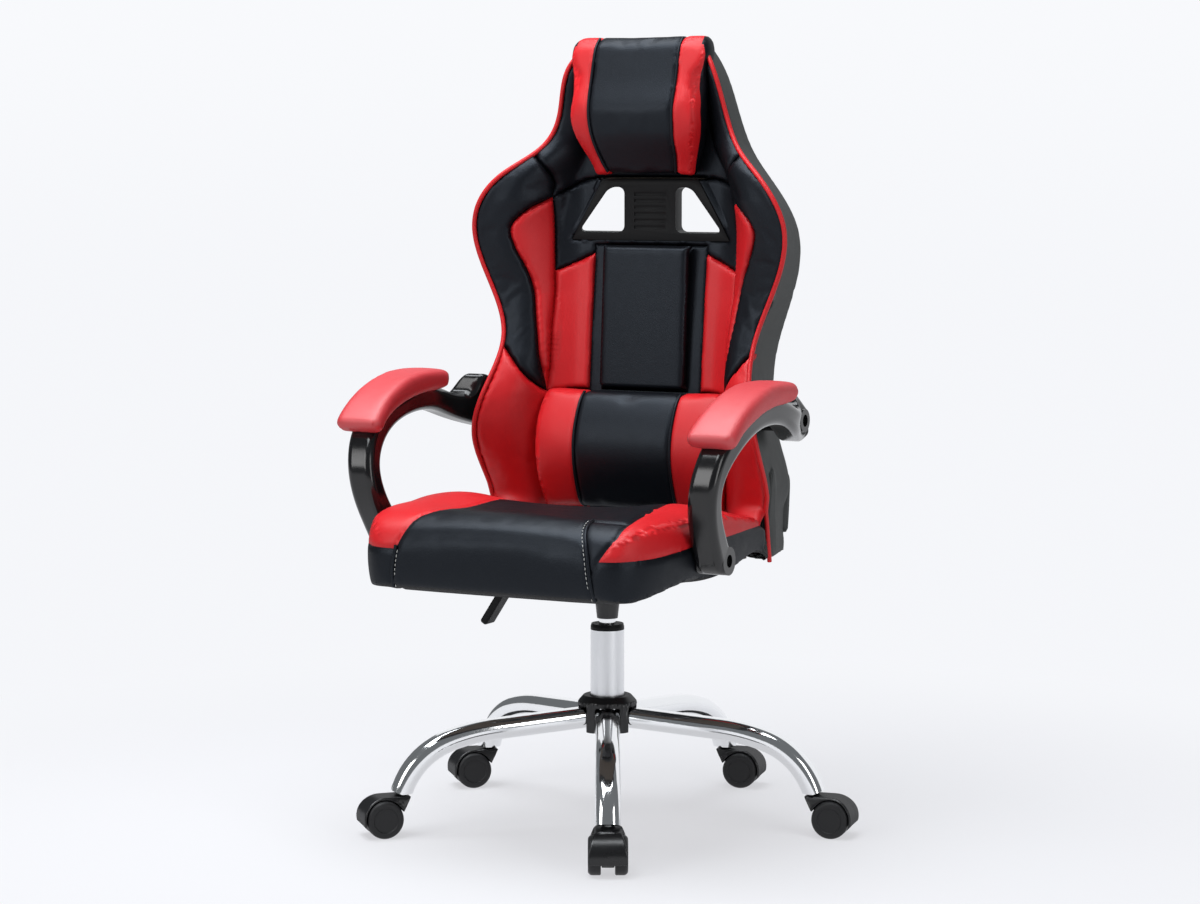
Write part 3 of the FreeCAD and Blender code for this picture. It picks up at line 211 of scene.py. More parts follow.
CHROME = plated("chrome", (0.88, 0.89, 0.90), 0.05, (1, 1, 0.05))
SATIN = plated("satin_steel", (0.78, 0.79, 0.81), 0.30, (1, 1, 0.03))
ZINC = plated("zinc_steel", (0.55, 0.56, 0.57), 0.34, (1, 1, 1))
ENAMEL = moulded("black_enamel", (0.018, 0.018, 0.019), 0.38, 0.15)
PLY = plywood("plywood")
CLOTH = felted("seat_underside", (0.02, 0.02, 0.021))
THREAD = felted("thread", (0.55, 0.55, 0.53))

SLOT_PAINT = {
    "chrome": CHROME, "satin_steel": SATIN, "zinc_steel": ZINC, "black_metal": ENAMEL, "black_plastic": TRIM,
    "gloss_black_plastic": GLOSS, "wheel_plastic": WHEEL, "red_leather": RED, "black_leather": BLACK,
    "grey_leather": GREY, "plywood": PLY,
}
for subpart in frame["record"]["subparts"]:
    mesh = nodes[subpart["node"]].data
    mesh.materials.clear()
    mesh.materials.append(SLOT_PAINT[subpart["material_slot"]])


# Modelling helpers

def activate(piece):
    bpy.ops.object.select_all(action="DESELECT")
    piece.select_set(True)
    bpy.context.view_layer.objects.active = piece


def new_piece(name, vertices, faces):
    mesh = bpy.data.meshes.new(name)
    mesh.from_pydata(vertices, [], faces)
    piece = bpy.data.objects.new(name, mesh)
    scene.collection.objects.link(piece)
    return piece


def spots(piece):
    """The piece's points as an array."""
    flat = np.empty(len(piece.data.vertices) * 3)
    piece.data.vertices.foreach_get("co", flat)
    return flat.reshape(-1, 3)


def move_spots(piece, places):
    piece.data.vertices.foreach_set("co", np.asarray(places, np.float32).ravel())
    piece.data.update()


def normals(piece):
    flat = np.empty(len(piece.data.vertices) * 3, np.float32)
    piece.data.vertex_normals.foreach_get("vector", flat)
    return flat.reshape(-1, 3).astype(float)


def modify(piece, kind, **settings):
    """Add a modifier and apply it."""
    activate(piece)
    modifier = piece.modifiers.new(kind.title(), kind)
    for key, value in settings.items():
        setattr(modifier, key, value)
    bpy.ops.object.modifier_apply(modifier=modifier.name)
    return piece


def smooth_shade(piece, angle=None):
    activate(piece)
    if angle is None:
        bpy.ops.object.shade_smooth()
    else:
        bpy.ops.object.shade_smooth_by_angle(angle=math.radians(angle))
    return piece


def copy_of(name, *sources):
    """One new piece with the merged shapes of some CAD nodes."""
    copies = []
    for source in sources:
        twin = bpy.data.objects.new(name, nodes[source].data.copy())
        scene.collection.objects.link(twin)
        copies.append(twin)
    activate(copies[0])
    for twin in copies:
        twin.select_set(True)
    if len(copies) > 1:
        bpy.ops.object.join()
    piece = bpy.context.view_layer.objects.active
    bpy.ops.object.mode_set(mode="EDIT")
    bpy.ops.mesh.select_all(action="SELECT")
    bpy.ops.mesh.remove_doubles(threshold=1e-5)
    bpy.ops.object.mode_set(mode="OBJECT")
    piece.data.materials.clear()
    return piece


def remesh(piece, voxel, rounds=6):
    activate(piece)
    piece.data.remesh_voxel_size = voxel
    bpy.ops.object.voxel_remesh()
    if rounds:
        modify(piece, "SMOOTH", factor=0.5, iterations=rounds)
    return piece


def inflate(piece, pressure, most, slack=0.0, held=None):
    """Swell the cover with air for twenty frames, and let no point move further than most."""
    start = spots(piece)
    activate(piece)
    cloth = piece.modifiers.new("Cloth", "CLOTH")
    settings = cloth.settings
    settings.quality = 4
    settings.use_pressure = True
    settings.uniform_pressure_force = pressure
    settings.effector_weights.gravity = 0
    settings.shrink_min = -slack
    if held:
        settings.vertex_group_mass = held
    cloth.point_cache.frame_end = 20
    for step in range(1, 21):
        scene.frame_set(step)
    bpy.ops.object.modifier_apply(modifier=cloth.name)
    scene.frame_set(1)
    move = spots(piece) - start
    reach = np.linalg.norm(move, axis=1, keepdims=True)
    move_spots(piece, start + move * np.minimum(1, most / np.maximum(reach, 1e-9)))
    return piece


def finish_piece(piece, body, paint=None, replaces=()):
    """Paint a piece, hang it on the empty of the body that it rides on, and hide the CAD parts that it stands for.
    """
    if paint is not None:
        piece.data.materials.clear()
        piece.data.materials.append(paint)
    # Softer shading where the light only grazes the mesh
    piece.shadow_terminator_shading_offset = 0.2
    piece.shadow_terminator_geometry_offset = 0.3
    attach(piece, body)
    if replaces:
        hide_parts(*replaces)
    return piece


def spline(run, step=0.004):
    """A smooth line through points, with short even steps."""
    points = [np.array(point, float) for point in run]
    if len(points) == 2:
        ends = np.linalg.norm(points[1] - points[0])
        count = max(2, int(ends / step))
        return [points[0] + (points[1] - points[0]) * share for share in np.linspace(0, 1, count + 1)]
    padded = [2 * points[0] - points[1]] + points + [2 * points[-1] - points[-2]]
    line = [points[0]]
    for before, first, second, after in zip(padded, padded[1:], padded[2:], padded[3:]):
        count = max(2, int(np.linalg.norm(second - first) / step))
        for share in np.linspace(0, 1, count + 1)[1:]:
            line.append(0.5 * (2 * first + (second - before) * share
                               + (2 * before - 5 * first + 4 * second - after) * share ** 2
                               + (3 * first - before - 3 * second + after) * share ** 3))
    return line


def loop_of(*runs):
    """A closed outline from smooth runs that meet at corners."""
    line = []
    for run in runs:
        line += spline(run)[:-1]
    return np.array(line)


def inside(outline, places):
    """Which places lie inside a closed outline."""
    x, y = places[:, 0], places[:, 1]
    within = np.zeros(len(places), bool)
    for (x0, y0), (x1, y1) in zip(outline, np.roll(outline, -1, axis=0)):
        crosses = (y0 > y) != (y1 > y)
        with np.errstate(divide="ignore", invalid="ignore"):
            within ^= crosses & (x < (x1 - x0) * (y - y0) / (y1 - y0) + x0)
    return within


def nearest(targets, places):
    """Distance from each place to the nearest of the targets."""
    tree = kdtree.KDTree(len(targets))
    for index, target in enumerate(targets):
        tree.insert(target, index)
    tree.balance()
    return np.array([tree.find(place)[2] for place in places])


def tube(name, line, radius, closed=False, sides=4):
    """A round cord along points."""
    curve = bpy.data.curves.new(name, "CURVE")
    curve.dimensions = "3D"
    run = curve.splines.new("POLY")
    run.points.add(len(line) - 1)
    for point, place in zip(run.points, line):
        point.co = (*place, 1)
    run.use_cyclic_u = closed
    curve.bevel_depth = radius
    curve.bevel_resolution = sides
    curve.use_fill_caps = True
    piece = bpy.data.objects.new(name, curve)
    scene.collection.objects.link(piece)
    activate(piece)
    bpy.ops.object.convert(target="MESH")
    return smooth_shade(piece, 60)


# Front of the back: panels sewn together over the foam

def surface_of(*sources):
    """Rays from the front onto CAD nodes."""
    trees = [BVHTree.FromPolygons([vertex.co for vertex in nodes[source].data.vertices],
                                  [face.vertices for face in nodes[source].data.polygons]) for source in sources]

    def at(x, z):
        for inset in (0, 0.002, 0.004, 0.008):
            start = Vector((x - math.copysign(inset, x), -1, z))
            hits = [tree.ray_cast(start, Vector((0, 1, 0)))[0] for tree in trees]
            hits = [hit for hit in hits if hit is not None]
            if hits:
                return Vector((x, min(hit.y for hit in hits), z))
        return None

    return at


def panel(name, outline, surface, puff, groove, reach, holes=(), blown=False, back=0.006, spacing=0.0045):
    """A padded panel that fills an outline of (x, z) points and lies on a surface. Its edges are drawn down
    by groove, and it rises to puff over a distance of reach."""
    low, high = outline.min(0), outline.max(0)
    columns = np.arange(low[0], high[0], spacing)
    rows = np.arange(low[1], high[1], spacing * 0.866)
    grid = np.array([(x + spacing / 2 * (number % 2), z) for number, z in enumerate(rows) for x in columns])
    loops = [outline, *holes]
    edge = np.concatenate(loops)
    flat_edge = [Vector((*point, 0)) for point in edge]
    keep = inside(outline, grid)
    for hole in holes:
        keep &= ~inside(hole, grid)
    grid = grid[keep]
    grid = grid[nearest(flat_edge, [Vector((*point, 0)) for point in grid]) > spacing * 0.6]
    rings, start = [], 0
    for ring in loops:
        numbers = list(range(start, start + len(ring)))
        rings += list(zip(numbers, numbers[1:] + numbers[:1]))
        start += len(ring)
    places = [Vector(point) for point in np.concatenate([edge, grid])]
    places, _, faces, *_ = delaunay_2d_cdt(places, rings, [], 0, 1e-7)
    flat = np.array([tuple(place) for place in places])
    middles = np.array([flat[face].mean(0) for face in faces])
    keep = inside(outline, middles)
    for hole in holes:
        keep &= ~inside(hole, middles)
    faces = [tuple(face) for face, kept in zip(faces, keep) if kept]
    spots_3d = [surface(*point) for point in flat]
    known = [spot for spot in spots_3d if spot is not None]
    depth = np.mean([spot.y for spot in known])
    spots_3d = [spot or Vector((x, depth, z)) for spot, (x, z) in zip(spots_3d, flat)]
    piece = new_piece(name, spots_3d, faces)
    activate(piece)
    bpy.ops.object.mode_set(mode="EDIT")
    bpy.ops.mesh.select_all(action="SELECT")
    bpy.ops.mesh.delete_loose()
    bpy.ops.mesh.normals_make_consistent(inside=False)
    bpy.ops.object.mode_set(mode="OBJECT")
    if normals(piece)[:, 1].mean() > 0:
        piece.data.flip_normals()
    base = spots(piece)
    rim = [Vector(place) for place in base[nearest(flat_edge, [Vector((x, z, 0)) for x, _, z in base]) < 1e-4]]
    distance = nearest(rim, [Vector(place) for place in base])
    share = np.minimum(distance / reach, 1)
    lift = -groove + (groove + puff) * np.sqrt(1 - (1 - share) ** 2)
    held = piece.vertex_groups.new(name="held")
    held.add([int(number) for number in np.flatnonzero(distance < 1e-4)], 1.0, "REPLACE")
    move_spots(piece, base + normals(piece) * lift[:, None])
    if blown:
        inflate(piece, pressure=2.0, most=0.0025, slack=0.005, held="held")
    modify(piece, "SOLIDIFY", thickness=back, offset=-1)
    return smooth_shade(piece)


def edge_line(node, step=0.006):
    """The widest point of a CAD node at each height, on the +X side."""
    mesh = nodes[node].data
    places = spots(nodes[node])
    pairs = np.empty(len(mesh.edges) * 2, np.int32)
    mesh.edges.foreach_get("vertices", pairs)
    first, second = places[pairs[0::2]], places[pairs[1::2]]
    line = []
    for level in np.arange(places[:, 2].min() + 0.002, places[:, 2].max() - 0.002, step):
        across = (first[:, 2] - level) * (second[:, 2] - level) < 0
        start, end = first[across], second[across]
        share = (level - start[:, 2]) / (end[:, 2] - start[:, 2])
        points = start + (end - start) * share[:, None]
        line.append(points[points[:, 0].argmax()])
    return np.array(line)


back_edge = edge_line("back_cushion")
EDGE_FOOT = np.array([(0.224, 0.090, 0.392), (0.2295, 0.063, 0.470)])
back_edge = np.concatenate([np.linspace(*EDGE_FOOT, 12), back_edge[back_edge[:, 2] > 0.485]])
PIPING_RADIUS = 0.0035


def edge_run(low, high, inset=0.0014):
    """The piped edge between two heights, as (x, z) points just inside the piping."""
    heights = np.linspace(low, high, max(3, int(abs(high - low) / 0.02)))
    return [(np.interp(height, back_edge[:, 2], back_edge[:, 0]) - inset, height) for height in heights]


# Seams of the right half, as (x, z)
PANEL_TOP, PANEL_LOW = 0.853, 0.634
LEAF_OUTER = [(0.151, 0.924), (0.178, 0.905), (0.196, 0.887), (0.202, 0.872), (0.199, 0.857), (0.192, 0.838),
              (0.181, 0.814), (0.173, 0.788), (0.167, 0.752), (0.161, 0.716), (0.156, 0.680), (0.152, 0.654),
              (0.150, 0.630)]
LEAF_INNER = [(0.150, 0.630), (0.147, 0.680), (0.148, 0.740), (0.151, 0.813)]
LEAF_HIGH = [(0.151, 0.813), (0.152, 0.850), (0.152, 0.890), (0.151, 0.924)]
HIP_LINE = [(0.150, 0.630), (0.178, 0.667), (0.205, 0.702)]
NECK_SEAM = [(0.151, 0.924), (0.1475, 0.946), (0.153, 0.968), (0.161, 0.990)]
YOKE_TOP = [(0.151, 0.924), (0.136, 0.938), (0.118, 0.949), (0.090, 0.954), (0.0, 0.955)]
RED_TOP = [(0.151, 0.813), (0.0925, 0.841)]
RED_INNER = [(0.0925, 0.841), (0.0925, PANEL_LOW)]
RED_FOOT = [(0.0925, PANEL_LOW), (0.150, 0.630)]
CENTRE_HALF = 0.072
BACK_LOW, BACK_HIGH = 0.426, 1.140
LUMBAR_SIDE = 0.092


def backwards(run):
    return list(reversed(run))


foam = surface_of("back_cushion")
SWELL_FROM = 0.110
swell_at = [(0.40, 0.008), (0.50, 0.016), (0.63, 0.022), (0.70, 0.016), (0.78, 0.013), (0.85, 0.022),
            (0.92, 0.026), (0.98, 0.010), (1.02, 0.0)]


def front(x, z):
    """The foam, with the bolsters at both sides swollen towards the sitter."""
    spot = foam(x, z)
    if spot is None:
        return None
    rim = np.interp(z, back_edge[:, 2], back_edge[:, 0])
    share = min(max((abs(x) - SWELL_FROM) / (rim - SWELL_FROM), 0), 1)
    most = np.interp(z, *zip(*swell_at))
    return spot - Vector((0, most * math.sin(math.pi * share) ** 2, 0))


hip_edge = edge_run(BACK_LOW, HIP_LINE[-1][1])
wing_edge = edge_run(HIP_LINE[-1][1], NECK_SEAM[-1][1])
HIP_LINE[-1] = wing_edge[0]
NECK_SEAM[-1] = wing_edge[-1]
neck_edge = edge_run(NECK_SEAM[-1][1], BACK_HIGH)
half_panels = {
    "wing": (BLACK, "black_leather", 0.004, 0.010,
             [wing_edge, backwards(NECK_SEAM), LEAF_OUTER, HIP_LINE]),
    "leaf": (RED, "red_leather", 0.003, 0.009, [LEAF_OUTER, LEAF_INNER, LEAF_HIGH]),
    "hip": (RED, "red_leather", 0.005, 0.012,
            [HIP_LINE, backwards(hip_edge), [hip_edge[0], (LUMBAR_SIDE, BACK_LOW)],
             [(LUMBAR_SIDE, BACK_LOW), (LUMBAR_SIDE, 0.600)], [(LUMBAR_SIDE, 0.600), HIP_LINE[0]]]),
    "stripe": (RED, "red_leather", 0.004, 0.010,
               [RED_TOP, RED_INNER, RED_FOOT, LEAF_INNER]),
}
for side, sign in (("left", 1), ("right", -1)):
    for part, (paint, slot, puff, reach, runs) in half_panels.items():
        outline = loop_of(*runs) * (sign, 1)
        piece = panel(f"back_{part}_{side}", outline, front, puff, 0.0025, reach, blown=part in ("wing", "hip"))
        finish_piece(piece, "seat", paint)


def both_halves(*runs):
    """An outline that is closed by its own mirror image, from runs that start and end at the middle."""
    half = [point for run in runs for point in spline(run)[:-1]] + [np.array(runs[-1][-1], float)]
    other = [(-x, z) for x, z in reversed(half)]
    return np.array([tuple(point) for point in half] + other[1:-1])


bezel_low, bezel_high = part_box("window_bezel")
neck_outline = both_halves(backwards(YOKE_TOP), NECK_SEAM, neck_edge, [neck_edge[-1], (0.0, BACK_HIGH)])
neck = panel("back_neck", neck_outline, front, 0.003, 0.0025, 0.010)
finish_piece(neck, "seat", BLACK)

window_front = bezel_low.y
bezel_places = spots(nodes["window_bezel"])
bezel_face = bezel_places[bezel_places[:, 1] < window_front + 0.001]
bezel_foot = bezel_face[bezel_face[:, 2] < bezel_low.z + 0.001][:, 0].max()
bezel_head = bezel_face[bezel_face[:, 2] > bezel_high.z - 0.001][:, 0].max()
LIP = 0.002
hole = loop_of([(-bezel_foot + LIP, bezel_low.z + LIP), (bezel_foot - LIP, bezel_low.z + LIP)],
               [(bezel_foot - LIP, bezel_low.z + LIP), (bezel_head - LIP, bezel_high.z - LIP)],
               [(bezel_head - LIP, bezel_high.z - LIP), (-bezel_head + LIP, bezel_high.z - LIP)],
               [(-bezel_head + LIP, bezel_high.z - LIP), (-bezel_foot + LIP, bezel_low.z + LIP)])
yoke_outline = both_halves([(0.0, PANEL_TOP), (0.0925, PANEL_TOP)], [(0.0925, PANEL_TOP), RED_TOP[1]],
                           backwards(RED_TOP), LEAF_HIGH, YOKE_TOP)
yoke = panel("back_yoke", yoke_outline, front, 0.002, 0.0025, 0.008, [hole])
finish_piece(yoke, "seat", BLACK)

centre_outline = loop_of([(-CENTRE_HALF, PANEL_LOW), (CENTRE_HALF, PANEL_LOW)],
                         [(CENTRE_HALF, PANEL_LOW), (CENTRE_HALF, PANEL_TOP)],
                         [(CENTRE_HALF, PANEL_TOP), (-CENTRE_HALF, PANEL_TOP)],
                         [(-CENTRE_HALF, PANEL_TOP), (-CENTRE_HALF, PANEL_LOW)])
centre = panel("back_centre", centre_outline, surface_of("centre_panel"), 0.001, 0.006, 0.012, back=0.016)
finish_piece(centre, "seat", BLACK, ["centre_panel"])

LINING_HALF = 0.0945
lining_outline = loop_of([(-LINING_HALF, BACK_LOW), (LINING_HALF, BACK_LOW)],
                         [(LINING_HALF, BACK_LOW), (LINING_HALF, PANEL_TOP)],
                         [(LINING_HALF, PANEL_TOP), (-LINING_HALF, PANEL_TOP)],
                         [(-LINING_HALF, PANEL_TOP), (-LINING_HALF, BACK_LOW)])
lining = panel("back_lining", lining_outline, foam, -0.001, 0.002, 0.008)
finish_piece(lining, "seat", BLACK)

# The foam and its rear cover, behind the panels
shell = remesh(copy_of("back_shell", "back_cushion", "back_cover"), 0.005, 8)
SHELL_FOOT, SHELL_LAP, SHELL_CORE = 0.397, 0.530, 0.130


def girth(level):
    """Reach of the shell round its core at one height, by direction."""
    ring = spots(shell)
    ring = ring[np.abs(ring[:, 2] - level) < 0.006]
    turns = np.arctan2(ring[:, 1] - SHELL_CORE, ring[:, 0])
    reach = np.hypot(ring[:, 0], ring[:, 1] - SHELL_CORE)
    bins = np.linspace(-math.pi, math.pi, 61)
    most = [reach[(turns >= low) & (turns < high)].max(initial=0) for low, high in zip(bins, bins[1:])]
    known = np.flatnonzero(most)
    middles = (bins[:-1] + bins[1:]) / 2
    return lambda turn: np.interp(turn, middles[known], np.array(most)[known], period=2 * math.pi)


# The skirt of the shell runs straight down from the lap
foot_reach, lap_reach = girth(SHELL_FOOT), girth(SHELL_LAP)
places = spots(shell)
turns = np.arctan2(places[:, 1] - SHELL_CORE, places[:, 0])
reach = np.hypot(places[:, 0], places[:, 1] - SHELL_CORE)
share = np.clip((places[:, 2] - SHELL_FOOT) / (SHELL_LAP - SHELL_FOOT), 0, 1)
straight = foot_reach(turns) + (lap_reach(turns) - foot_reach(turns)) * share
low_side = (places[:, 2] > SHELL_FOOT) & (places[:, 2] < SHELL_LAP) & (places[:, 1] > 0.08) & (
    reach > straight * 0.62) & (reach < straight)
grow = np.where(low_side, straight / np.maximum(reach, 1e-6), 1)
places[:, 0] *= grow
places[:, 1] = SHELL_CORE + (places[:, 1] - SHELL_CORE) * grow
places[:, 2] = np.where(places[:, 2] < SHELL_FOOT + 0.003, SHELL_FOOT, places[:, 2])
move_spots(shell, places)
skirt = shell.vertex_groups.new(name="skirt")
on_skirt = (places[:, 2] > 0.415) & (places[:, 2] < 0.62) & (places[:, 1] > 0.085)
skirt.add([int(number) for number in np.flatnonzero(on_skirt)], 1.0, "REPLACE")
modify(shell, "SMOOTH", factor=0.5, iterations=40, vertex_group="skirt")
modify(shell, "SMOOTH", factor=0.5, iterations=6)
rims = np.interp(spots(shell)[:, 2], back_edge[:, 2], back_edge[:, 0])
facing = np.clip(-normals(shell)[:, 1] * 3, 0, 1) * np.clip((rims - np.abs(spots(shell)[:, 0])) / 0.012, 0, 1)
move_spots(shell, spots(shell) - normals(shell) * (facing * 0.006)[:, None])
smooth_shade(shell)
finish_piece(shell, "seat", GREY, ["back_cushion", "back_cover"])

edge = [tuple(point) for point in back_edge if point[2] < BACK_HIGH]
edge_cord = spline(edge, 0.006)
for side, sign in (("left", 1), ("right", -1)):
    line = [point * (sign, 1, 1) + (sign * -0.0012, -0.0012, 0) for point in edge_cord]
    finish_piece(tube(f"back_piping_{side}", line, PIPING_RADIUS), "seat", RED)


# Pads: closed forms that are blown up, then cut along their seams

def face_data(piece):
    """Centres and normals of a piece's faces."""
    count = len(piece.data.polygons)
    centres, facings = np.empty(count * 3), np.empty(count * 3)
    piece.data.polygons.foreach_get("center", centres)
    piece.data.polygons.foreach_get("normal", facings)
    return centres.reshape(-1, 3), facings.reshape(-1, 3)


def cut(piece, axis, level, chosen):
    """Split the chosen faces along the surface where the coordinate equals level(points). chosen takes the
    faces' centres and normals. Returns the places of the new points."""
    mesh = piece.data
    centres, facings = face_data(piece)
    picked = chosen(centres, facings) & (np.abs(centres[:, axis] - level(centres)) < 0.03)
    places = spots(piece)
    shift = np.zeros_like(places)
    shift[:, axis] = level(places)
    move_spots(piece, places - shift)
    activate(piece)
    bpy.ops.object.mode_set(mode="EDIT")
    bpy.ops.mesh.select_mode(type="FACE")
    bpy.ops.mesh.select_all(action="DESELECT")
    bpy.ops.object.mode_set(mode="OBJECT")
    mesh.polygons.foreach_set("select", picked)
    bpy.ops.object.mode_set(mode="EDIT")
    plane = [0, 0, 0]
    plane[axis] = 1
    bpy.ops.mesh.bisect(plane_co=(0, 0, 0), plane_no=plane)
    bpy.ops.object.mode_set(mode="OBJECT")
    marks = np.empty(len(mesh.vertices), bool)
    mesh.vertices.foreach_get("select", marks)
    places = spots(piece)
    shift = np.zeros_like(places)
    shift[:, axis] = level(places)
    marks &= np.abs(places[:, axis]) < 1e-5
    move_spots(piece, places + shift)
    return spots(piece)[marks]


def sew(piece, seams, depth, width):
    """Draw the cover in along seams."""
    targets = [Vector(place) for place in seams]
    distance = nearest(targets, [Vector(place) for place in spots(piece)])
    move_spots(piece, spots(piece) - normals(piece) * (depth * np.exp(-(distance / width) ** 2))[:, None])
    return piece


def paint_faces(piece, paints, choose):
    """Give each face the paint whose number choose(centres, normals) says."""
    piece.data.materials.clear()
    for paint in paints:
        piece.data.materials.append(paint)
    numbers = choose(*face_data(piece))
    piece.data.polygons.foreach_set("material_index", np.asarray(numbers, np.int32))


def by_height(*pairs):
    heights, values = zip(*pairs)
    return lambda height: np.interp(height, heights, values)


def ordered(points, middle):
    """Points sorted round an axis along X through middle, and thinned to an even line."""
    turn = np.arctan2(points[:, 2] - middle[1], middle[0] - points[:, 1])
    points = points[np.argsort(turn)]
    line = [points[0]]
    for point in points[1:]:
        if np.linalg.norm(point - line[-1]) > 0.006:
            line.append(point)
    line = np.array(line)
    for _ in range(4):
        line[1:-1] = line[1:-1] * 0.5 + (line[:-2] + line[2:]) * 0.25
    return line


def back_pad(name, node, inner, flank, most):
    """A pad with a black middle between red sides, and dark flanks where it goes round to the back."""
    low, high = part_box(node)
    middle = (high.y, (low.z + high.z) / 2)
    pad = remesh(copy_of(name, node), 0.0045, 6)
    inflate(pad, 4.0, most)
    modify(pad, "SMOOTH", factor=0.5, iterations=4)
    seams = []
    for sign in (1, -1):
        seam = cut(pad, 0, lambda p: sign * inner(p[:, 2]), lambda c, n: c[:, 1] < 1)
        seams.append(seam)
        cut(pad, 1, lambda p: flank(p[:, 2]), lambda c, n: (c[:, 0] * sign > 0.06) & (n[:, 0] * sign > 0.3))

    def choose(centres, facings):
        centre = np.abs(centres[:, 0]) < inner(centres[:, 2])
        side = (centres[:, 1] > flank(centres[:, 2])) & (np.abs(facings[:, 0]) > 0.3)
        return np.where(centre | side | (facings[:, 1] > 0.3), 0, 1)

    paint_faces(pad, [BLACK, RED], choose)
    sew(pad, np.concatenate(seams), 0.003, 0.003)
    smooth_shade(pad)
    for side, seam in zip(("left", "right"), seams):
        line = ordered(seam[seam[:, 1] < high.y - 0.030], middle)
        finish_piece(tube(f"{name}_piping_{side}", line, 0.0022), "seat", BLACK)
    return finish_piece(pad, "seat", None, [node])


back_pad("headrest", "headrest_pad",
         by_height((0.957, 0.055), (0.985, 0.063), (1.03, 0.068), (1.10, 0.070), (1.16, 0.069)),
         by_height((0.957, 0.128), (1.0, 0.108), (1.05, 0.092), (1.09, 0.094), (1.12, 0.098), (1.165, 0.104)), 0.004)
back_pad("lumbar", "lumbar_pad", by_height((0.45, 0.080), (0.64, 0.080)),
         by_height((0.45, 0.100), (0.55, 0.088), (0.64, 0.108)), 0.004)


# Seat
seat = remesh(copy_of("seat_cover", "seat_cushion"), 0.0052, 6)
inflate(seat, 3.0, 0.003)
modify(seat, "SMOOTH", factor=0.5, iterations=5)
# The top is dished in the middle and rolled up at both sides
places = spots(seat)
on_top = np.clip(normals(seat)[:, 2] * 2, 0, 1)
dish = np.clip(1 - (places[:, 0] / 0.15) ** 2, 0, 1) * np.clip((places[:, 1] + 0.30) / 0.12, 0, 1)
roll = np.exp(-((np.abs(places[:, 0]) - 0.185) / 0.045) ** 2) * np.clip((places[:, 1] + 0.36) / 0.1, 0, 1)
places[:, 2] += on_top * (roll * 0.007 - dish * 0.012)
move_spots(seat, places)
modify(seat, "SMOOTH", factor=0.5, iterations=4)
bolster = seat.vertex_groups.new(name="bolster")
on_bolster = (np.abs(places[:, 0]) > 0.13) & (places[:, 2] > 0.445)
bolster.add([int(number) for number in np.flatnonzero(on_bolster)], 1.0, "REPLACE")
modify(seat, "SMOOTH", factor=0.5, iterations=50, vertex_group="bolster")

seam_at = by_height((0.38, 0.160), (0.40, 0.157), (0.44, 0.152), (0.46, 0.146), (0.487, 0.132))
left_top = by_height((-0.36, 0.136), (-0.335, 0.136), (-0.31, 0.118), (-0.25, 0.108), (0.06, 0.104))
right_top = by_height((-0.36, 0.186), (-0.29, 0.186), (-0.22, 0.177), (-0.12, 0.160), (0.06, 0.146))
band_top = by_height((-0.36, 0.441), (-0.30, 0.443), (-0.20, 0.450), (0.06, 0.452))
SEAM_BACK = -0.305


def left_edge(p):
    return -left_top(p[:, 1]) - np.clip(0.480 - p[:, 2], 0, 0.06) * 0.40


def right_edge(p):
    return right_top(p[:, 1]) - np.clip(0.474 - p[:, 2], 0, 0.06) * 0.60


seat_seams = [
    cut(seat, 0, lambda p: seam_at(p[:, 2]), lambda c, n: (c[:, 1] < SEAM_BACK) & (c[:, 0] > 0)),
    cut(seat, 0, lambda p: -seam_at(p[:, 2]), lambda c, n: (c[:, 2] < 0.444) & (c[:, 1] < -0.3) & (c[:, 0] < 0)),
    cut(seat, 0, right_edge, lambda c, n: (c[:, 2] > 0.425) & (c[:, 0] > 0.1)),
    cut(seat, 0, left_edge, lambda c, n: (c[:, 2] > 0.436) & (c[:, 0] < -0.08)),
    cut(seat, 2, lambda p: band_top(p[:, 1]), lambda c, n: (n[:, 2] < 0.8) & (
        (c[:, 0] > right_edge(c) - 0.004) | (c[:, 0] < left_edge(c) + 0.004))),
    cut(seat, 1, lambda p: SEAM_BACK + 0 * p[:, 0], lambda c, n: (c[:, 0] > 0.128) & (n[:, 2] > 0.5)
        & (c[:, 0] < right_edge(c))),
]


def seat_paint(centres, facings):
    x, y, z = centres.T
    red = (z > band_top(y)) & ((x > right_edge(centres)) | (x < left_edge(centres)))
    under = facings[:, 2] < -0.75
    return np.where(under, 2, np.where(red, 1, 0))


paint_faces(seat, [BLACK, RED, CLOTH], seat_paint)
sew(seat, np.concatenate(seat_seams), 0.0028, 0.0032)
smooth_shade(seat)
finish_piece(seat, "seat", None, ["seat_cushion"])


SEAM_AXIS = (-0.29, 0.43)


def stitches(name, line, pitch=0.0065, length=0.0042, radius=0.00055):
    """A row of short threads that lie along a line."""
    line = np.array(line)
    travel = np.concatenate([[0], np.cumsum(np.linalg.norm(np.diff(line, axis=0), axis=1))])
    at = [np.interp(np.arange(start, travel[-1] - length, pitch), travel, line[:, axis])
          for start in (0, length) for axis in range(3)]
    starts, ends = np.array(at[:3]).T, np.array(at[3:]).T
    threads = []
    for start, end in zip(starts, ends):
        along = Vector(end - start)
        bpy.ops.mesh.primitive_uv_sphere_add(segments=8, ring_count=6, radius=1)
        thread = bpy.context.object
        thread.data.transform(Matrix.LocRotScale(Vector((start + end) / 2), along.to_track_quat("Z", "Y"),
                                                 Vector((radius, radius, length / 2))))
        thread.matrix_world = Matrix.Identity(4)
        threads.append(thread)
    activate(threads[0])
    for thread in threads:
        thread.select_set(True)
    bpy.ops.object.join()
    threads[0].name = name
    return smooth_shade(threads[0])


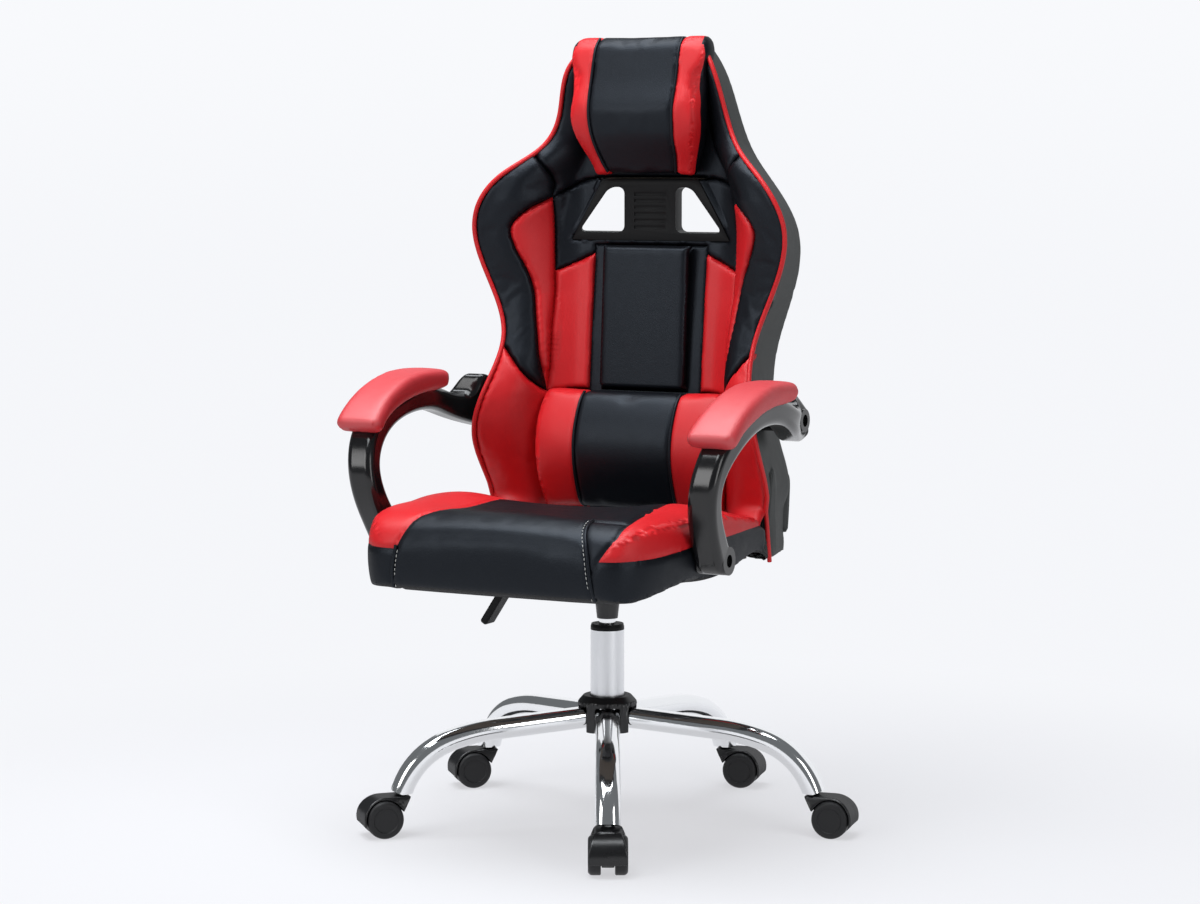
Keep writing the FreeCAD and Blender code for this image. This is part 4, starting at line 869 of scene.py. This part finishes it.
for side, seam in (("left", seat_seams[0]), ("right", seat_seams[1])):
    line = ordered(seam[seam[:, 2] > 0.386], SEAM_AXIS)
    finish_piece(tube(f"seat_piping_{side}", line, 0.0026), "seat", BLACK)
    inward = -1 if side == "left" else 1
    outward = np.stack([np.zeros(len(line)), line[:, 1] - SEAM_AXIS[0], line[:, 2] - SEAM_AXIS[1]], 1)
    outward /= np.linalg.norm(outward, axis=1, keepdims=True)
    row = line + outward * 0.0012 + (inward * 0.0045, 0, 0)
    finish_piece(stitches(f"seat_stitches_{side}", row), "seat", THREAD)


# Arm pads, smoothed and then grown back to their fullness
for side in ("left", "right"):
    pad = remesh(copy_of(f"arm_cushion_{side}", f"arm_pad_{side}"), 0.0035, 4)
    inflate(pad, 4.0, 0.004)
    modify(pad, "SMOOTH", factor=0.5, iterations=14)
    move_spots(pad, spots(pad) + normals(pad) * 0.0045)
    modify(pad, "SMOOTH", factor=0.5, iterations=3)
    smooth_shade(pad)
    # The pads take the paler red copy, whose colour holds painted sheen
    finish_piece(pad, "seat", RED_WITH_PAINTED_SHEEN, [f"arm_pad_{side}"])


# Mouldings with softened edges

def weigh(piece, chosen):
    """Mark edges for the bevel. chosen takes both ends of each edge."""
    mesh = piece.data
    pairs = np.empty(len(mesh.edges) * 2, np.int32)
    mesh.edges.foreach_get("vertices", pairs)
    places = spots(piece)
    if "bevel_weight_edge" not in mesh.attributes:
        mesh.attributes.new("bevel_weight_edge", "FLOAT", "EDGE")
    marks = chosen(places[pairs[0::2]], places[pairs[1::2]]).astype(np.float32)
    mesh.attributes["bevel_weight_edge"].data.foreach_set("value", marks)


BEZEL_RIM, POST_HALF, SLACK = 0.012, 0.0425, 0.0005
WINDOW_FOOT, WINDOW_LEAN = 0.120, 0.052
MOULDING_VOXEL = 0.0016
HOOD_WAIST, COLLAR_HALF = 0.030, 0.010
window_low, window_high = bezel_low.z + BEZEL_RIM - SLACK, bezel_high.z - BEZEL_RIM + SLACK


def at_window(places):
    """Which places lie on the rims of the windows, seen from the front."""
    return (places[:, 2] > window_low) & (places[:, 2] < window_high) & (np.abs(places[:, 0]) > POST_HALF) & (
        np.abs(places[:, 0]) < WINDOW_FOOT + SLACK)


def window_corners(first, second):
    """The edges that run through the bezel at the windows' corners."""
    front_end = np.where((first[:, 1] < second[:, 1])[:, None], first, second)
    return (np.abs(first[:, 1] - second[:, 1]) > 0.04) & at_window(front_end)


def window_rims(first, second):
    """The windows' edges on the front face."""
    flat = (first[:, 1] < window_front + 1e-4) & (second[:, 1] < window_front + 1e-4)
    return flat & at_window(first) & at_window(second) & (first[:, 0] * second[:, 0] > 0)


def window_walls(centres, facings):
    """The faces round the windows that aren't on the front or the rear."""
    height = (centres[:, 2] - window_low) / (window_high - window_low)
    outer = WINDOW_FOOT - WINDOW_LEAN * height + 0.006 + 0.5 * (centres[:, 1] - window_front)
    wall = (np.abs(facings[:, 1]) < 0.93) & (np.abs(centres[:, 0]) > 0.036) & (np.abs(centres[:, 0]) < outer)
    return wall & (centres[:, 2] > window_low - 0.007) & (centres[:, 2] < window_high + 0.007)


bezel = copy_of("bezel", "window_bezel")
bpy.ops.object.mode_set(mode="EDIT")
bpy.ops.mesh.select_all(action="SELECT")
bpy.ops.mesh.dissolve_limited(angle_limit=math.radians(1))
bpy.ops.object.mode_set(mode="OBJECT")
weigh(bezel, window_corners)
modify(bezel, "BEVEL", width=0.010, segments=6, limit_method="WEIGHT")
weigh(bezel, window_rims)
modify(bezel, "BEVEL", width=0.005, segments=4, limit_method="WEIGHT")
modify(bezel, "BEVEL", width=0.0012, segments=2, limit_method="ANGLE", angle_limit=math.radians(40))
paint_faces(bezel, [TRIM, WALL], window_walls)
smooth_shade(bezel, 40)
finish_piece(bezel, "seat", None, ["window_bezel"])
hub_skirt = smooth_shade(remesh(copy_of("hub_skirt", "hub_cover"), MOULDING_VOXEL, 14))
finish_piece(hub_skirt, "base", HOOD, ["hub_cover"])
for number in range(1, 6):
    source = f"caster_{number}_hood"
    hood = remesh(copy_of(f"hood_{number}", source), MOULDING_VOXEL, 8)
    left, right = (sum(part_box(f"caster_{number}_wheel_{side}"), Vector()) / 2 for side in ("left", "right"))
    across = np.array((left - right).normalized())
    places = spots(hood)
    off = (places - np.array((left + right) / 2)) @ across
    rise = np.clip((places[:, 2] - HOOD_WAIST) / HOOD_WAIST, 0, 1)
    narrow = 0.5 * rise ** 2 * np.maximum(np.abs(off) - COLLAR_HALF, 0)
    move_spots(hood, places - (np.sign(off) * narrow)[:, None] * across)
    smooth_shade(hood)
    finish_piece(hood, f"caster_{number}", HOOD, [source])


# Stage, light and camera
def studio_floor():
    """Pale near the chair, where it takes the shadows, and fading into the lit backdrop further out."""
    paint = Paint("pale_floor")
    spot = paint.node("ShaderNodeTexCoord", output="Object")
    reach = paint.node("ShaderNodeVectorMath", {"operation": "LENGTH"}, {0: spot}, "Value")
    far = paint.node("ShaderNodeMapRange", {"interpolation_type": "SMOOTHSTEP"},
                     {"Value": reach, "From Min": 0.5, "From Max": 1.5})
    return paint.set(Base_Color=paint.mix(far, rgb(0.25, 0.25, 0.255), rgb(0, 0, 0)), Roughness=0.9,
                     Specular_IOR_Level=0.0, Emission_Strength=1.0,
                     Emission_Color=paint.mix(far, rgb(0.56, 0.56, 0.58), rgb(0.915, 0.925, 0.955)))


bpy.ops.mesh.primitive_plane_add(size=24, location=(0, 0, 0))
floor = bpy.context.object
floor.name = "floor"
floor.data.materials.append(studio_floor())
bpy.ops.mesh.primitive_plane_add(size=24, location=(0, 12, 0), rotation=(math.pi / 2, 0, 0))
backdrop = bpy.context.object
backdrop.name = "backdrop"
lit = Paint("lit_backdrop")
height = lit.node("ShaderNodeSeparateXYZ", None, {"Vector": lit.place()}, 1)
rise = lit.node("ShaderNodeMapRange", {"interpolation_type": "SMOOTHSTEP"},
                {"Value": height, "From Min": 0.0, "From Max": 2.0})
backdrop.data.materials.append(lit.set(
    Base_Color=rgb(0, 0, 0), Specular_IOR_Level=0.0, Emission_Strength=1.0,
    Emission_Color=lit.mix(rise, rgb(0.915, 0.925, 0.955), rgb(0.94, 0.95, 0.975))))

world = bpy.data.worlds.new("studio")
scene.world = world
world.use_nodes = True
sky = world.node_tree.nodes["Background"]
sky.inputs["Color"].default_value = rgb(0.90, 0.95, 1.0)
sky.inputs["Strength"].default_value = 0.17
seen = world.node_tree.nodes.new("ShaderNodeBackground")
seen.inputs["Color"].default_value = rgb(0.94, 0.95, 0.975)
blend = world.node_tree.nodes.new("ShaderNodeMixShader")
path = world.node_tree.nodes.new("ShaderNodeLightPath")
for start, end in ((path.outputs["Is Camera Ray"], blend.inputs[0]), (sky.outputs[0], blend.inputs[1]),
                   (seen.outputs[0], blend.inputs[2]),
                   (blend.outputs[0], world.node_tree.nodes["World Output"].inputs["Surface"])):
    world.node_tree.links.new(start, end)


def softbox(name, place, aim, size, power, colour=(1, 1, 1)):
    bpy.ops.object.light_add(type="AREA", location=place)
    light = bpy.context.object
    light.name = name
    light.data.shape = "RECTANGLE"
    light.data.size, light.data.size_y = size
    light.data.energy = power
    light.data.color = colour
    light.rotation_mode = "QUATERNION"
    light.rotation_quaternion = (Vector(aim) - Vector(place)).to_track_quat("-Z", "Y")


softbox("overhead", (-0.4, -0.5, 3.2), (0, 0, 0.3), (2.8, 2.4), 150, (0.93, 0.965, 1.0))
softbox("key", (-1.6, -3.4, 2.0), (0, 0, 0.7), (1.8, 1.8), 46)
softbox("fill", (3.0, -1.4, 1.4), (0, 0, 0.6), (1.0, 2.0), 22)

AZIMUTH, ELEVATION, DISTANCE = math.radians(27), math.radians(5.607), 4.446
SIDESTEP, AIM_HEIGHT = -0.011, 0.5519
FOCAL_PIXELS, IMAGE_WIDTH = 3012.4, 1200
to_right = Vector((math.cos(AZIMUTH), math.sin(AZIMUTH), 0))
to_camera = Vector((math.sin(AZIMUTH) * math.cos(ELEVATION), -math.cos(AZIMUTH) * math.cos(ELEVATION),
                    math.sin(ELEVATION)))
bpy.ops.object.camera_add(location=Vector((0, 0, AIM_HEIGHT)) + to_right * SIDESTEP + to_camera * DISTANCE)
camera = bpy.context.object
camera.rotation_mode = "QUATERNION"
camera.rotation_quaternion = (-to_camera).to_track_quat("-Z", "Y")
camera.data.sensor_width = 36
camera.data.lens = FOCAL_PIXELS / IMAGE_WIDTH * camera.data.sensor_width
scene.camera = camera
scene.view_settings.view_transform = "Standard"
